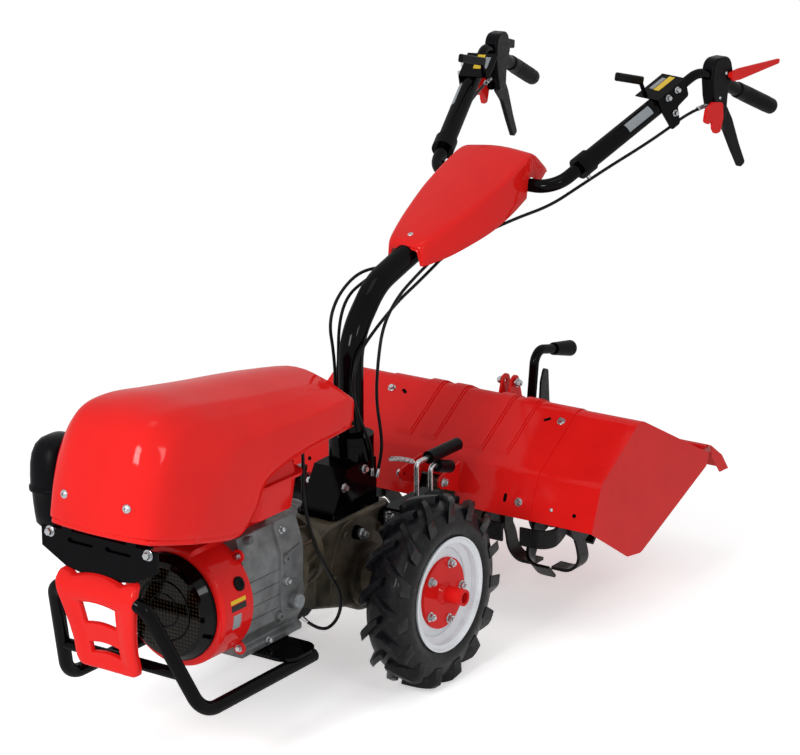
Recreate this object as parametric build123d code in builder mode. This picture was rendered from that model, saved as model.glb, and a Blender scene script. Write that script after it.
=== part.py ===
from build123d import *
import math
import os

# A walking garden tiller: an engine and gearbox on two wheels, a tined rotor under a
# sheet hood behind them, and a handlebar on one column.
# Millimetres. +X is the machine's left, -Y its front, +Z up, and Z = 0 is the ground.
# Unless a comment says otherwise, places are given from the middle of the wheel axle:
# x to the left, y to the rear, z up.

# ---------------------------------------------------------------- driving sizes
tyre_od = 464.0            # over the lugs
tyre_width = 112.0
tyre_wall = 11.0
track = 490.0              # between the middles of the two tyres
axle_y = -255.0            # the axle's place along the whole machine's length
axle_z = tyre_od / 2

bead_r = 127.0             # rim radius where the tyre sits, for a 10 inch tyre
bead_half = 46.0           # half the width over the tyre's beads
flange_r = 139.0
rim_half = 56.0            # half the width over the rim's lips
rim_sheet = 3.5
wheel_bolts = 5
wheel_pcd = 145.0
wheel_bolt_d = 13.0
disc_out = 30.0            # the wheel disc's outer face, out from the tyre's middle
disc_sheet = 4.0
hub_flange_d = 172.0
hub_flange_t = 8.0
hub_d = 40.0
hub_bore = 26.0
hub_socket_d = 28.0        # the hub's open end, beyond the axle shaft
hub_out = 96.0             # the hub's open end, out from the tyre's middle
hub_in = -35.0             # the hub's inner end, from the tyre's middle
shaft_gap = 0.05           # radial clearance of a shaft in its bore
shaft_end = 60.0           # the axle shaft's end, out from the tyre's middle

crank_z = 119.0            # crankshaft axis above the axle
tube_d = 32.0              # bumper tube
column_d = 60.0
column_wall = 4.0
column_y = 24.0            # the column's upright part and the swing axis
crossbar_d = 34.0
crossbar_y = 645.0
crossbar_z = 840.0
stem_d = 48.0
handle_d = 25.0
grip_d = 43.0
cable_d = 8.0
seat_gap = 0.3             # between curved or thin pieces that rest on each other

hood_half = 455.0          # half the tiller hood's width
hood_sheet = 2.5
hood_lap = 30.0            # how far the middle sheet laps each wing
centre_half = 280.0        # half the middle sheet's width
rotor_y = 600.0
rotor_z = 18.0
rotor_r = 160.0
tine_shaft_d = 46.0
# Tine flanges out from the middle, with +1 where the blades' feet turn outwards.
rotor_flanges = [(80.0, 1), (190.0, 1), (300.0, -1)]
tines_per_flange = 4

axle = Vector(0, axle_y, axle_z)
side = Plane(origin=axle, x_dir=(0, 1, 0), z_dir=(1, 0, 0))     # local (y, z), faces +X
front = Plane(origin=axle, x_dir=(1, 0, 0), z_dir=(0, -1, 0))   # local (x, z), faces -Y
plan = Plane(origin=axle, x_dir=(1, 0, 0), z_dir=(0, 0, 1))     # local (x, y), faces +Z


def at(x, y, z):
    """A point given from the middle of the axle."""
    return axle + Vector(x, y, z)


def save(name, part):
    """Label a finished piece and write its own file."""
    part.label = name
    export_step(part, f"parts/{name}.step")


def rod(start, end, diameter, bore=0.0):
    """A straight round bar or tube between two points."""
    run = end - start
    with BuildPart() as piece:
        with BuildSketch(Plane(origin=start, z_dir=run)):
            Circle(diameter / 2)
            if bore:
                Circle(bore / 2, mode=Mode.SUBTRACT)
        extrude(amount=run.length)
    return piece.part


def bent_tube(points, radii, diameter, bore=0.0):
    """A round bar or tube along straight runs joined by bends."""
    with BuildPart() as piece:
        with BuildLine() as route:
            FilletPolyline(*points, radius=radii)
        with BuildSketch(Plane(origin=route.line @ 0, z_dir=route.line % 0)):
            Circle(diameter / 2)
            if bore:
                Circle(bore / 2, mode=Mode.SUBTRACT)
        sweep(path=route.line)
    return piece.part


def cable_radii(points):
    """The largest bend each corner of a cable has room for."""
    radii = []
    for before, here, after in zip(points, points[1:], points[2:]):
        turn = math.radians((here - before).get_angle(after - here))
        run = min((here - before).length, (after - here).length)
        radii.append(0.45 * run / math.tan(turn / 2))
    return radii


def cable(points):
    """A sheathed control cable, printed with its tightest bend."""
    radii = cable_radii(points)
    part = bent_tube(points, radii, cable_d)
    length = part.volume / (math.pi * cable_d**2 / 4)
    print("cable radii", [round(r) for r in radii], "length", round(length))
    return part


os.makedirs("parts", exist_ok=True)

# ---------------------------------------------------------------- wheels
axle_line = Axis(axle, (1, 0, 0))
tyre_r = tyre_od / 2
shoulder_r = tyre_r - 17
widest_r = (bead_r + tyre_r) / 2
bead_top = flange_r + 2


def tyre(middle):
    """A hollow tyre turned about the axle; middle is its middle plane's x."""
    inner_half = bead_half - tyre_wall
    with BuildPart() as piece:
        with BuildSketch(front):
            with BuildLine():
                Line((middle - bead_half, bead_r), (middle - bead_half, bead_top))
                ThreePointArc(
                    (middle - bead_half, bead_top),
                    (middle - tyre_width / 2, widest_r),
                    (middle - tyre_width / 2 + 6, shoulder_r),
                )
                ThreePointArc(
                    (middle - tyre_width / 2 + 6, shoulder_r),
                    (middle, tyre_r),
                    (middle + tyre_width / 2 - 6, shoulder_r),
                )
                ThreePointArc(
                    (middle + tyre_width / 2 - 6, shoulder_r),
                    (middle + tyre_width / 2, widest_r),
                    (middle + bead_half, bead_top),
                )
                Line((middle + bead_half, bead_top), (middle + bead_half, bead_r))
                Line((middle + bead_half, bead_r), (middle + inner_half, bead_r))
                ThreePointArc(
                    (middle + inner_half, bead_r),
                    (middle + tyre_width / 2 - tyre_wall, widest_r),
                    (middle, tyre_r - 2 * tyre_wall),
                )
                ThreePointArc(
                    (middle, tyre_r - 2 * tyre_wall),
                    (middle - tyre_width / 2 + tyre_wall, widest_r),
                    (middle - inner_half, bead_r),
                )
                Line((middle - inner_half, bead_r), (middle - bead_half, bead_r))
            make_face()
        revolve(axis=axle_line)
    return piece.part


def rim(middle, out):
    """A pressed rim and its dished disc; out is +1 where the disc faces left."""
    lip = bead_half + seat_gap
    well_r = bead_r - 15
    well_half = 24.0
    # Outside of the barrel from lip to lip, then back along its inside: (x, radius).
    barrel = [
        (-rim_half, flange_r),
        (-lip, flange_r - 3),
        (-lip, bead_r),
        (-well_half - 8, bead_r),
        (-well_half, well_r),
        (well_half, well_r),
        (well_half + 8, bead_r),
        (lip, bead_r),
        (lip, flange_r - 3),
        (rim_half, flange_r),
        (rim_half, flange_r - rim_sheet),
        (lip + rim_sheet, flange_r - 3 - rim_sheet),
        (lip + rim_sheet, bead_r - rim_sheet),
        (well_half + 10, bead_r - rim_sheet),
        (well_half + 2, well_r - rim_sheet),
        (-well_half - 2, well_r - rim_sheet),
        (-well_half - 10, bead_r - rim_sheet),
        (-lip - rim_sheet, bead_r - rim_sheet),
        (-lip - rim_sheet, flange_r - 3 - rim_sheet),
        (-rim_half, flange_r - rim_sheet),
    ]
    disc_flat_r = wheel_pcd / 2 + 14
    with BuildPart() as piece:
        with BuildSketch(front):
            with BuildLine():
                Polyline(*[(middle + out * x, r) for x, r in barrel], close=True)
            make_face()
            with BuildLine():
                Polyline(
                    (middle + out * 12, well_r - 1),
                    (middle + out * (disc_out - disc_sheet), disc_flat_r),
                    (middle + out * (disc_out - disc_sheet), hub_d / 2 + 14),
                    (middle + out * disc_out, hub_d / 2 + 14),
                    (middle + out * disc_out, disc_flat_r),
                    (middle + out * 20, well_r - 1),
                    close=True,
                )
            make_face()
        revolve(axis=axle_line)
        with BuildSketch(side.offset(middle + out * disc_out)):
            with PolarLocations(wheel_pcd / 2, wheel_bolts, start_angle=70):
                Circle(wheel_bolt_d / 2)
        extrude(amount=-out * disc_sheet, mode=Mode.SUBTRACT)
    return piece.part


def hub(middle, out):
    """The flanged hub: a disc on a bored tube, open at its outer end."""
    # Half section from the inner end outwards: (x, radius).
    section = [
        (hub_in, hub_bore / 2),
        (hub_in, hub_d / 2 + 8),
        (disc_out, hub_d / 2 + 8),
        (disc_out, hub_flange_d / 2),
        (disc_out + hub_flange_t, hub_flange_d / 2),
        (disc_out + hub_flange_t, hub_d / 2 + 8),
        (disc_out + hub_flange_t + 10, hub_d / 2),
        (hub_out, hub_d / 2),
        (hub_out, hub_socket_d / 2),
        (shaft_end, hub_socket_d / 2),
        (shaft_end, hub_bore / 2),
    ]
    with BuildPart() as piece:
        with BuildSketch(front):
            with BuildLine():
                Polyline(*[(middle + out * x, r) for x, r in section], close=True)
            make_face()
        revolve(axis=axle_line)
        with BuildSketch(side.offset(middle + out * disc_out)):
            with PolarLocations(wheel_pcd / 2, wheel_bolts, start_angle=70):
                Circle(wheel_bolt_d / 2)
        extrude(amount=out * hub_flange_t, mode=Mode.SUBTRACT)
    return piece.part


housing_end = track / 2 - tyre_width / 2 + 5      # the axle housing's outer end
shaft_start = housing_end - 70.0
for name, out in (("left", 1), ("right", -1)):
    middle = out * track / 2
    save(f"{name}_tyre", tyre(middle))
    save(f"{name}_rim", rim(middle, out))
    save(f"{name}_hub", hub(middle, out))
    start, end = at(out * shaft_start, 0, 0), at(middle + out * shaft_end, 0, 0)
    save(f"{name}_axle_shaft", rod(start, end, hub_bore - 2 * shaft_gap))

# ---------------------------------------------------------------- gearbox
gearbox_half = 64.0
gearbox_top = 168.0
gearbox_front = -215.0
gearbox_rear = 130.0
sump_r = 88.0              # the casting's round bottom about the axle
pto_z = 40.0               # the drive to the tiller leaves at this height
pto_flange_d = 150.0
pto_flange_t = 20.0
with BuildPart() as gearbox_housing:
    with BuildSketch(side.offset(-gearbox_half)):
        Circle(sump_r)
        with BuildLine():
            Polyline(
                (gearbox_front, -22),
                (-60, -64),
                (60, -64),
                (gearbox_rear, -30),
                (gearbox_rear, 120),
                (85, gearbox_top),
                (-150, gearbox_top),
                (gearbox_front, 140),
                close=True,
            )
        make_face()
    extrude(amount=2 * gearbox_half)
    fillet(gearbox_housing.faces().sort_by(Axis.X)[0].edges(), 10)
    fillet(gearbox_housing.faces().sort_by(Axis.X)[-1].edges(), 10)
    with BuildSketch(front.offset(-gearbox_rear)):
        with Locations((0, pto_z)):
            Circle(pto_flange_d / 2)
    extrude(amount=-pto_flange_t)
    with BuildSketch(side.offset(shaft_start)):
        Circle(hub_bore / 2)
    extrude(amount=gearbox_half, mode=Mode.SUBTRACT)
    with BuildSketch(side.offset(-shaft_start)):
        Circle(hub_bore / 2)
    extrude(amount=-gearbox_half, mode=Mode.SUBTRACT)
save("gearbox_housing", gearbox_housing.part)

# Outline of an axle housing from the gearbox outwards: (x, radius).
axle_housing_section = [
    (gearbox_half, hub_bore / 2),
    (gearbox_half, 78),
    (gearbox_half + 14, 78),
    (gearbox_half + 14, 52),
    (housing_end - 30, 40),
    (housing_end - 24, 48),
    (housing_end, 48),
    (housing_end, hub_bore / 2),
]
with BuildPart() as axle_housings:
    with BuildSketch(front):
        with BuildLine():
            Polyline(*axle_housing_section, close=True)
        make_face()
    revolve(axis=axle_line)
    mirror(about=Plane.YZ)
save("axle_housings", axle_housings.part)

engine_rear = -335.0
bell_r = 120.0
bell_line = Axis(at(0, 0, crank_z), (0, 1, 0))
with BuildPart() as bell_housing:
    with BuildSketch(side):
        with BuildLine():
            Polyline(
                (engine_rear, crank_z),
                (engine_rear, crank_z + bell_r),
                (engine_rear + 18, crank_z + bell_r),
                (engine_rear + 18, crank_z + bell_r - 12),
                (gearbox_front - 22, crank_z + 78),
                (gearbox_front - 18, crank_z + 92),
                (gearbox_front, crank_z + 92),
                (gearbox_front, crank_z),
                close=True,
            )
        make_face()
    revolve(axis=bell_line)
save("bell_housing", bell_housing.part)

# ---------------------------------------------------------------- engine
engine_front = -555.0
foot_z = -18.0             # underside of the engine's feet
with BuildPart() as engine_block:
    with BuildSketch(front.offset(-engine_rear)):
        with BuildLine():
            Polyline(
                (-112, foot_z),
                (112, foot_z),
                (112, foot_z + 16),
                (98, foot_z + 24),
                (118, 40),
                (118, 195),
                (96, 262),
                (10, 268),
                (-60, 235),
                (-100, 160),
                (-98, foot_z + 24),
                (-112, foot_z + 16),
                close=True,
            )
        make_face()
    extrude(amount=engine_rear - engine_front)
    fillet(engine_block.edges().filter_by(Axis.Y), 5)
    with BuildSketch(side.offset(118)):
        with Locations((-375, 68)):
            Circle(19)
    extrude(amount=14)
save("engine_block", engine_block.part)

# The finned cylinder leans out to the right; u runs along it, v across it.
bore_line = Plane(
    origin=at(-66, engine_front + 112, 178),
    x_dir=(-math.cos(math.radians(25)), 0, math.sin(math.radians(25))),
    z_dir=(0, -1, 0),
)
with BuildPart() as engine_cylinder:
    with BuildSketch(bore_line.offset(-62)):
        with Locations((75, 0)):
            Rectangle(120, 104)
        for step in range(8):
            with Locations((22 + 13 * step, 0)):
                Rectangle(4, 138)
        with Locations((152, 0)):
            Rectangle(42, 122)
    extrude(amount=124)
    add(engine_block.part, mode=Mode.SUBTRACT)
save("engine_cylinder", engine_cylinder.part)

shroud_r = 142.0
shroud_front = -662.0
shroud_sheet = 3.0
recoil_r = 124.0
shroud_lugs = [(104, 226), (104, 8), (-104, 8)]
with BuildPart() as fan_shroud:
    with BuildSketch(front.offset(-engine_front)):
        with Locations((0, crank_z)):
            Circle(shroud_r)
        with BuildLine():
            Polyline(
                (-40, crank_z + 60),
                (-40, crank_z + shroud_r),
                (60, crank_z + shroud_r),
                (60, crank_z + 60),
                close=True,
            )
        make_face()
    extrude(amount=engine_front - shroud_front)
    fillet(fan_shroud.faces().sort_by(Axis.Y)[0].edges(), 12)
    offset(amount=-shroud_sheet, openings=fan_shroud.faces().sort_by(Axis.Y)[-1])
    with BuildSketch(front.offset(-shroud_front)):
        with Locations((0, crank_z)):
            Circle(recoil_r - 6)
    extrude(amount=-shroud_sheet * 2, mode=Mode.SUBTRACT)
    # The lugs that hold it to the crankcase.
    with BuildSketch(front.offset(-engine_front)):
        with Locations(*shroud_lugs):
            Circle(15)
        with Locations(*shroud_lugs):
            Circle(4.5, mode=Mode.SUBTRACT)
        with Locations((0, crank_z)):
            Circle(shroud_r - shroud_sheet - 1, mode=Mode.SUBTRACT)
    extrude(amount=5)
save("fan_shroud", fan_shroud.part)

recoil_face = shroud_front - 30
with BuildPart() as recoil_cover:
    with BuildSketch(side):
        with BuildLine():
            Polyline(
                (shroud_front, crank_z + recoil_r),
                (shroud_front - 6, crank_z + recoil_r),
                (recoil_face + 4, crank_z + recoil_r - 14),
                (recoil_face, crank_z + recoil_r - 26),
                (recoil_face, crank_z),
                (recoil_face + 3, crank_z),
                (recoil_face + 3, crank_z + recoil_r - 27),
                (recoil_face + 7, crank_z + recoil_r - 17),
                (shroud_front - 3, crank_z + recoil_r - 4),
                (shroud_front, crank_z + recoil_r - 4),
                close=True,
            )
        make_face()
    revolve(axis=bell_line)
save("recoil_cover", recoil_cover.part)

# The tank is two tapered pans on one seam flange, open at its filler.
tank_seam_z = 382.0
tank_y = -458.0
tank_sheet = 2.0
with BuildPart() as fuel_tank:
    for depth, taper in ((-82, 8), (52, 14)):
        with BuildSketch(plan.offset(tank_seam_z)):
            with Locations((0, tank_y)):
                RectangleRounded(290, 180, 40)
        extrude(amount=depth, taper=taper)
    with BuildSketch(plan.offset(tank_seam_z - 3)):
        with Locations((0, tank_y)):
            RectangleRounded(316, 206, 50)
    extrude(amount=6)
    with BuildSketch(plan.offset(tank_seam_z + 30)):
        with Locations((70, tank_y)):
            Circle(26)
    extrude(amount=36)
    for depth, taper in ((-82 + tank_sheet, 8), (52 - tank_sheet, 14)):
        with BuildSketch(plan.offset(tank_seam_z)):
            with Locations((0, tank_y)):
                RectangleRounded(290 - 2 * tank_sheet, 180 - 2 * tank_sheet, 40 - tank_sheet)
        extrude(amount=depth, taper=taper, mode=Mode.SUBTRACT)
    with BuildSketch(plan.offset(tank_seam_z + 30)):
        with Locations((70, tank_y)):
            Circle(26 - tank_sheet)
    extrude(amount=36, mode=Mode.SUBTRACT)
    # The feet that stand on the crankcase.
    with BuildSketch(plan.offset(tank_seam_z - 81)):
        with Locations((60, tank_y), (-24, tank_y)):
            Rectangle(26, 90)
    extrude(amount=-50)
    add(engine_block.part, mode=Mode.SUBTRACT)
save("fuel_tank", fuel_tank.part)

muffler_sheet = 2.0
muffler_x = -224.0
muffler_y = -425.0
muffler_z = 310.0
with BuildPart() as muffler:
    with BuildSketch(plan.offset(muffler_z)):
        with Locations((muffler_x, muffler_y)):
            RectangleRounded(124, 110, 22)
    extrude(amount=86)
    fillet(muffler.faces().sort_by(Axis.Z)[-1].edges(), 10)
    with BuildSketch(plan.offset(muffler_z + muffler_sheet)):
        with Locations((muffler_x, muffler_y)):
            RectangleRounded(124 - 2 * muffler_sheet, 110 - 2 * muffler_sheet, 20)
    extrude(amount=74, mode=Mode.SUBTRACT)
    # The tail pipe.
    with BuildSketch(side.offset(muffler_x - 59)):
        with Locations((muffler_y, muffler_z + 46)):
            Circle(14)
    extrude(amount=-28)
    with BuildSketch(side.offset(muffler_x - 90)):
        with Locations((muffler_y, muffler_z + 46)):
            Circle(11)
    extrude(amount=40, mode=Mode.SUBTRACT)
    # The flange pipe down to the cylinder head.
    with BuildSketch(plan.offset(muffler_z + 1)):
        with Locations((-183, muffler_y)):
            Circle(14)
    extrude(amount=-30)
    add(engine_cylinder.part, mode=Mode.SUBTRACT)
save("muffler", muffler.part)

air_wall = 3.0
air_x = -232.0
air_y = -765.0
intake_duct = bent_tube(
    [at(air_x, -698, 330), at(air_x, -590, 330), at(-203, -552, 272), at(-203, -505.3, 272)],
    [40, 30],
    46,
    40,
)
with BuildPart() as air_cleaner:
    with BuildSketch(plan.offset(300)):
        with Locations((air_x, air_y)):
            RectangleRounded(100, 140, 20)
    extrude(amount=205)
    fillet(air_cleaner.faces().sort_by(Axis.Z)[-1].edges(), 18)
    with BuildSketch(plan.offset(300 + air_wall)):
        with Locations((air_x, air_y)):
            RectangleRounded(100 - 2 * air_wall, 140 - 2 * air_wall, 17)
    extrude(amount=184, mode=Mode.SUBTRACT)
    # The duct to the cylinder head.
    add(intake_duct)
save("air_cleaner", air_cleaner.part)

# ---------------------------------------------------------------- engine cover
cover_wall = 3.0
cover_foot_z = 300.0
cover_nose_r = 95.0        # between the nose and the top
cover_tail_r = 60.0
cover_corner_r = 44.0      # along the nose, the shoulders and the tail
cover_draft = 24.0         # how far each side leans in from its foot to the top
cover_lip = 2.5            # how far the rim along the foot line stands out
cover_lip_height = 13.0
# Side outlines across the cover: (x, how much lower its top is, how far back its nose is).
cover_stations = [(-190, 17, 34), (0, 0, 0), (190, 17, 34)]


def cover_blank(inset):
    """The cover's solid form, drawn in by inset on every side but the foot."""
    with BuildPart() as form:
        for x, drop, back in cover_stations:
            with BuildSketch(side.offset(x)):
                with BuildLine():
                    outline = FilletPolyline(
                        (-934 + back + inset, cover_foot_z),
                        (-892 + back + inset, 647 - drop - inset),
                        (-500, 596 - drop - inset),
                        (-130 - inset, 549 - drop - inset),
                        (-180 - inset, cover_foot_z),
                        radius=[cover_nose_r - inset, 900, cover_tail_r - inset],
                    )
                    Line(outline @ 1, outline @ 0)
                make_face()
        loft()
        # Seen from above the sides bow out a little and draw in to the tail.
        for z, lean in ((cover_foot_z, inset), (660, cover_draft + inset)):
            with BuildSketch(plan.offset(z)):
                with BuildLine():
                    ThreePointArc((167 - lean, -960), (178 - lean, -640), (136 - lean, -100))
                    Line((136 - lean, -100), (-136 + lean, -100))
                    ThreePointArc((-136 + lean, -100), (-178 + lean, -640), (-167 + lean, -960))
                    Line((-167 + lean, -960), (167 - lean, -960))
                make_face()
        loft(ruled=True, mode=Mode.INTERSECT)
        sides = form.faces().sort_by(Axis.X)
        rims = sides[0].edges() + sides[-1].edges()
        fillet(
            rims.filter_by(lambda edge: edge.center().Z > axle_z + cover_foot_z + 1),
            cover_corner_r - inset,
        )
    return form.part


# Below the foot line: level at the nose, lowest before the arch, high behind it.
with BuildSketch(side.offset(-250)) as cover_foot:
    with BuildLine():
        Polyline(
            (-960, cover_foot_z - 10),
            (-960, 362),
            (-905, 358),
            (-797, 338),
            (-700, 314),
            (-676, 314),
        )
        ThreePointArc((-676, 314), (-578, 376), (-436, 438))
        Polyline((-436, 438), (-352, 415), (-300, 425), (0, 418), (0, cover_foot_z - 10), (-960, cover_foot_z - 10))
    make_face()
with BuildSketch(side.offset(-250)) as cover_rim:
    add(cover_foot.sketch_local)
    offset(amount=cover_lip_height)
cover_outside = cover_blank(0)
cover_inside = cover_blank(cover_wall)
with BuildPart() as cover_lips:
    add(cover_blank(-cover_lip))
    add(cover_inside, mode=Mode.SUBTRACT)
    extrude(cover_rim.sketch, amount=500, dir=(1, 0, 0), mode=Mode.INTERSECT)
with BuildPart() as engine_cover:
    add(cover_outside)
    add(cover_inside, mode=Mode.SUBTRACT)
    add(cover_lips.part)
    extrude(cover_foot.sketch, amount=500, dir=(1, 0, 0), mode=Mode.SUBTRACT)
save("engine_cover", engine_cover.part)

# ---------------------------------------------------------------- front bracket, bumper
bumper_half = 190.0
skid_z = -42.0
skid_rear = -398.0
bumper_front = -802.0
top_half = 124.0
top_y = -912.0
top_z = 228.0
bumper_top = top_z + tube_d / 2
frame_corners = [
    at(bumper_half, skid_rear, skid_z),
    at(bumper_half, bumper_front, skid_z),
    at(top_half, top_y, top_z),
    at(-top_half, top_y, top_z),
    at(-bumper_half, bumper_front, skid_z),
    at(-bumper_half, skid_rear, skid_z),
]
frame_bends = [70, 45, 45, 70]
bumper_tube = bent_tube(frame_corners, frame_bends, tube_d, tube_d - 5)
bumper_space = bent_tube(frame_corners, frame_bends, tube_d + 2 * seat_gap)
cross_share = 0.36         # the lower cross bar's place up the legs
cross_y = bumper_front + cross_share * (top_y - bumper_front)
cross_z = skid_z + cross_share * (top_z - skid_z)
cross_half = bumper_half + cross_share * (top_half - bumper_half)
cross_bar = rod(at(-cross_half, cross_y, cross_z), at(cross_half, cross_y, cross_z), tube_d - 6)
with BuildPart() as bumper_frame:
    add(bumper_tube)
    add(cross_bar)
save("bumper_frame", bumper_frame.part)

# The red grille leans less than the legs; u runs across it and v up it, from the height
# of the top tube.
grille_lean = math.atan2(48, 220)
grille_up = Vector(0, -math.sin(grille_lean), math.cos(grille_lean))
grille_out = Vector(0, -math.cos(grille_lean), -math.sin(grille_lean))
grille_depth = 26.0
grille_recess = 9.0
grille_sheet = 3.5
grille_middle = at(0, top_y, top_z) - grille_out * (grille_depth - 2)
grille_plane = Plane(origin=grille_middle, x_dir=(1, 0, 0), z_dir=grille_out)
cross_space = rod(at(-150, cross_y, cross_z), at(150, cross_y, cross_z), tube_d - 6 + 2 * seat_gap)
with BuildPart() as bumper_grille:
    with BuildSketch(grille_plane):
        with BuildLine():
            FilletPolyline(
                (-66, -194),
                (66, -194),
                (84, -60),
                (104, 30),
                (60, 30),
                (40, 8),
                (-40, 8),
                (-60, 30),
                (-104, 30),
                (-84, -60),
                radius=[14, 14, 40, 14, 18, 18, 18, 18, 14, 40],
                close=True,
            )
        make_face()
    extrude(amount=grille_depth)
    fillet(bumper_grille.faces().sort_by(Axis.Y)[0].edges(), 7)
    # The web between the two beams lies deeper than they do.
    with BuildSketch(grille_plane.offset(grille_depth)):
        with BuildLine():
            Polyline((-40, -176), (40, -176), (58, -60), (58, -14), (-58, -14), (-58, -60), close=True)
        make_face()
    extrude(amount=-grille_recess, mode=Mode.SUBTRACT)
    offset(amount=-grille_sheet, openings=bumper_grille.faces().sort_by(Axis.Y)[-1])
    # Two windows: (v of the lower edge, v of the upper edge, half width below, above).
    for low, high, half_low, half_high in ((-154, -128, 36, 38), (-90, -40, 40, 45)):
        with BuildSketch(grille_plane):
            with BuildLine():
                Polyline((-half_high, high), (-half_low, low), (half_low, low), (half_high, high))
                ThreePointArc((half_high, high), (0, high + 10), (-half_high, high))
            make_face()
        extrude(amount=grille_depth + 5, mode=Mode.SUBTRACT)
    add(bumper_space, mode=Mode.SUBTRACT)
    add(cross_space, mode=Mode.SUBTRACT)
save("bumper_grille", bumper_grille.part)

plate_top = foot_z
with BuildPart() as base_plate:
    with BuildSketch(plan.offset(skid_z + tube_d / 2)):
        with Locations((0, -448)):
            RectangleRounded(2 * bumper_half + 30, 122, 40)
    extrude(amount=plate_top - skid_z - tube_d / 2)
save("base_plate", base_plate.part)

bracket_y = -900.0
bracket_sheet = 4.0
bracket_half = 160.0
bracket_top = 350.0
bracket_bolt_x = 135.0
bracket_bolt_z = 340.0
screw_x = 88.5             # the cover's front screws, each side of the middle
screw_z = 437.0
with BuildPart() as screw_pads:
    with BuildSketch(front.offset(-bracket_y)):
        with Locations((-screw_x, screw_z - 12), (screw_x, screw_z - 12)):
            RectangleRounded(30, 50, 8)
    extrude(amount=40)
    add(cover_blank(cover_wall + seat_gap), mode=Mode.INTERSECT)
with BuildPart() as front_bracket:
    with BuildSketch(front.offset(-bracket_y)):
        with BuildLine():
            Polyline(
                (-34, top_z),
                (34, top_z),
                (34, 258),
                (96, 270),
                (bracket_half, 304),
                (bracket_half, bracket_top),
                (-bracket_half, bracket_top),
                (-bracket_half, 304),
                (-96, 270),
                (-34, 258),
                close=True,
            )
        make_face()
        with Locations((-screw_x, 392), (screw_x, 392)):
            Rectangle(26, 88)
        with Locations((-bracket_bolt_x, bracket_bolt_z), (bracket_bolt_x, bracket_bolt_z)):
            Circle(5.5, mode=Mode.SUBTRACT)
        with Locations((-52, 330), (52, 330)):
            SlotOverall(70, 11, mode=Mode.SUBTRACT)
    extrude(amount=bracket_sheet)
    # The flange along its top edge, turned back between the uprights.
    with BuildSketch(plan.offset(bracket_top - bracket_sheet)):
        with Locations((0, bracket_y + 10)):
            Rectangle(2 * bracket_half - 60, 20)
    extrude(amount=bracket_sheet)
    add(screw_pads.part)
    add(bumper_space, mode=Mode.SUBTRACT)
save("front_bracket", front_bracket.part)

# ---------------------------------------------------------------- column base
base_top = 320.0
swing_gap = 0.5            # between the turret and the column's foot
turret_d = 108.0
turret_t = 40.0
with BuildPart() as column_base:
    with BuildSketch(plan.offset(gearbox_top)):
        with Locations((0, -30)):
            RectangleRounded(112, 190, 10)
    extrude(amount=14)
    with BuildSketch(side.offset(-48)):
        with BuildLine():
            Polyline(
                (-118, gearbox_top + 14),
                (60, gearbox_top + 14),
                (60, gearbox_top + 70),
                (column_y + 34, base_top - turret_t),
                (column_y - 34, base_top - turret_t),
                (-60, gearbox_top + 110),
                close=True,
            )
        make_face()
    extrude(amount=96)
    with BuildSketch(plan.offset(base_top - turret_t)):
        with Locations((0, column_y)):
            Circle(turret_d / 2)
    extrude(amount=turret_t - swing_gap)
save("column_base", column_base.part)

# ---------------------------------------------------------------- handlebar
crossbar_middle = at(0, crossbar_y, crossbar_z)
column_last = at(0, 230, 716)
column_run = (crossbar_middle - column_last).normalized()
column_corners = [
    at(0, column_y, base_top + 20),
    at(0, column_y, 572),
    at(0, 126, 683),
    column_last,
    crossbar_middle - column_run * (crossbar_d / 2 + seat_gap),
]
# The red cover over the column's upper end: (y, half width above, half width below,
# top z, bottom z) at its two ends.
cover_ends = [
    (250, 37, 47, 762, 702),
    (757, 96, 104, 957, 858),
]
column_cover_wall = 2.5
column_cover_r = 14.0
cover_gap = 2.0            # between the column and the cover's mouth


# Its side outline from the nose over the top to the tail: (y, z).
column_cover_line = [(250, 640), (250, 762), (676, 926), (800, 829), (800, 640)]


def over_low_edge(edge):
    """Whether an edge lies above the column cover's slanting lower edge."""
    (y0, _, _, _, z0), (y1, _, _, _, z1) = cover_ends
    share = (edge.center().Y - axle_y - y0) / (y1 - y0)
    return edge.center().Z - axle_z > z0 + share * (z1 - z0) + 3


def column_cover_blank(inset):
    """The column cover's solid form, drawn in by inset."""
    rise = 60.0
    with BuildPart() as form:
        for y, half_top, half_low, top, low in cover_ends:
            lean = (half_low - half_top) / (top - low) * rise
            with BuildSketch(front.offset(-y)):
                with BuildLine():
                    Polyline(
                        (half_low - inset, low - 2 * inset),
                        (half_top - lean - inset, top + rise),
                        (-half_top + lean + inset, top + rise),
                        (-half_low + inset, low - 2 * inset),
                        close=True,
                    )
                make_face()
        loft(ruled=True)
        with BuildSketch(side.offset(-150)):
            with BuildLine():
                (y0, z0), (y1, z1), (y2, z2), (y3, z3), (y4, z4) = column_cover_line
                outline = FilletPolyline(
                    (y0 + inset, z0),
                    (y1 + inset, z1 - inset),
                    (y2 - inset, z2 - inset),
                    (y3 - inset, z3 - inset),
                    (y4 - inset, z4),
                    radius=[24 - inset, 50 - inset, 20 - inset],
                )
                Line(outline @ 1, outline @ 0)
            make_face()
        extrude(amount=300, mode=Mode.INTERSECT)
        sides = form.faces().sort_by(Axis.X)
        fillet((sides[0].edges() + sides[-1].edges()).filter_by(over_low_edge), column_cover_r - inset)
    return form.part


column_bends = [170, 170, 300]
column_tube = bent_tube(column_corners, column_bends, column_d, column_d - 2 * column_wall)
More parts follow.
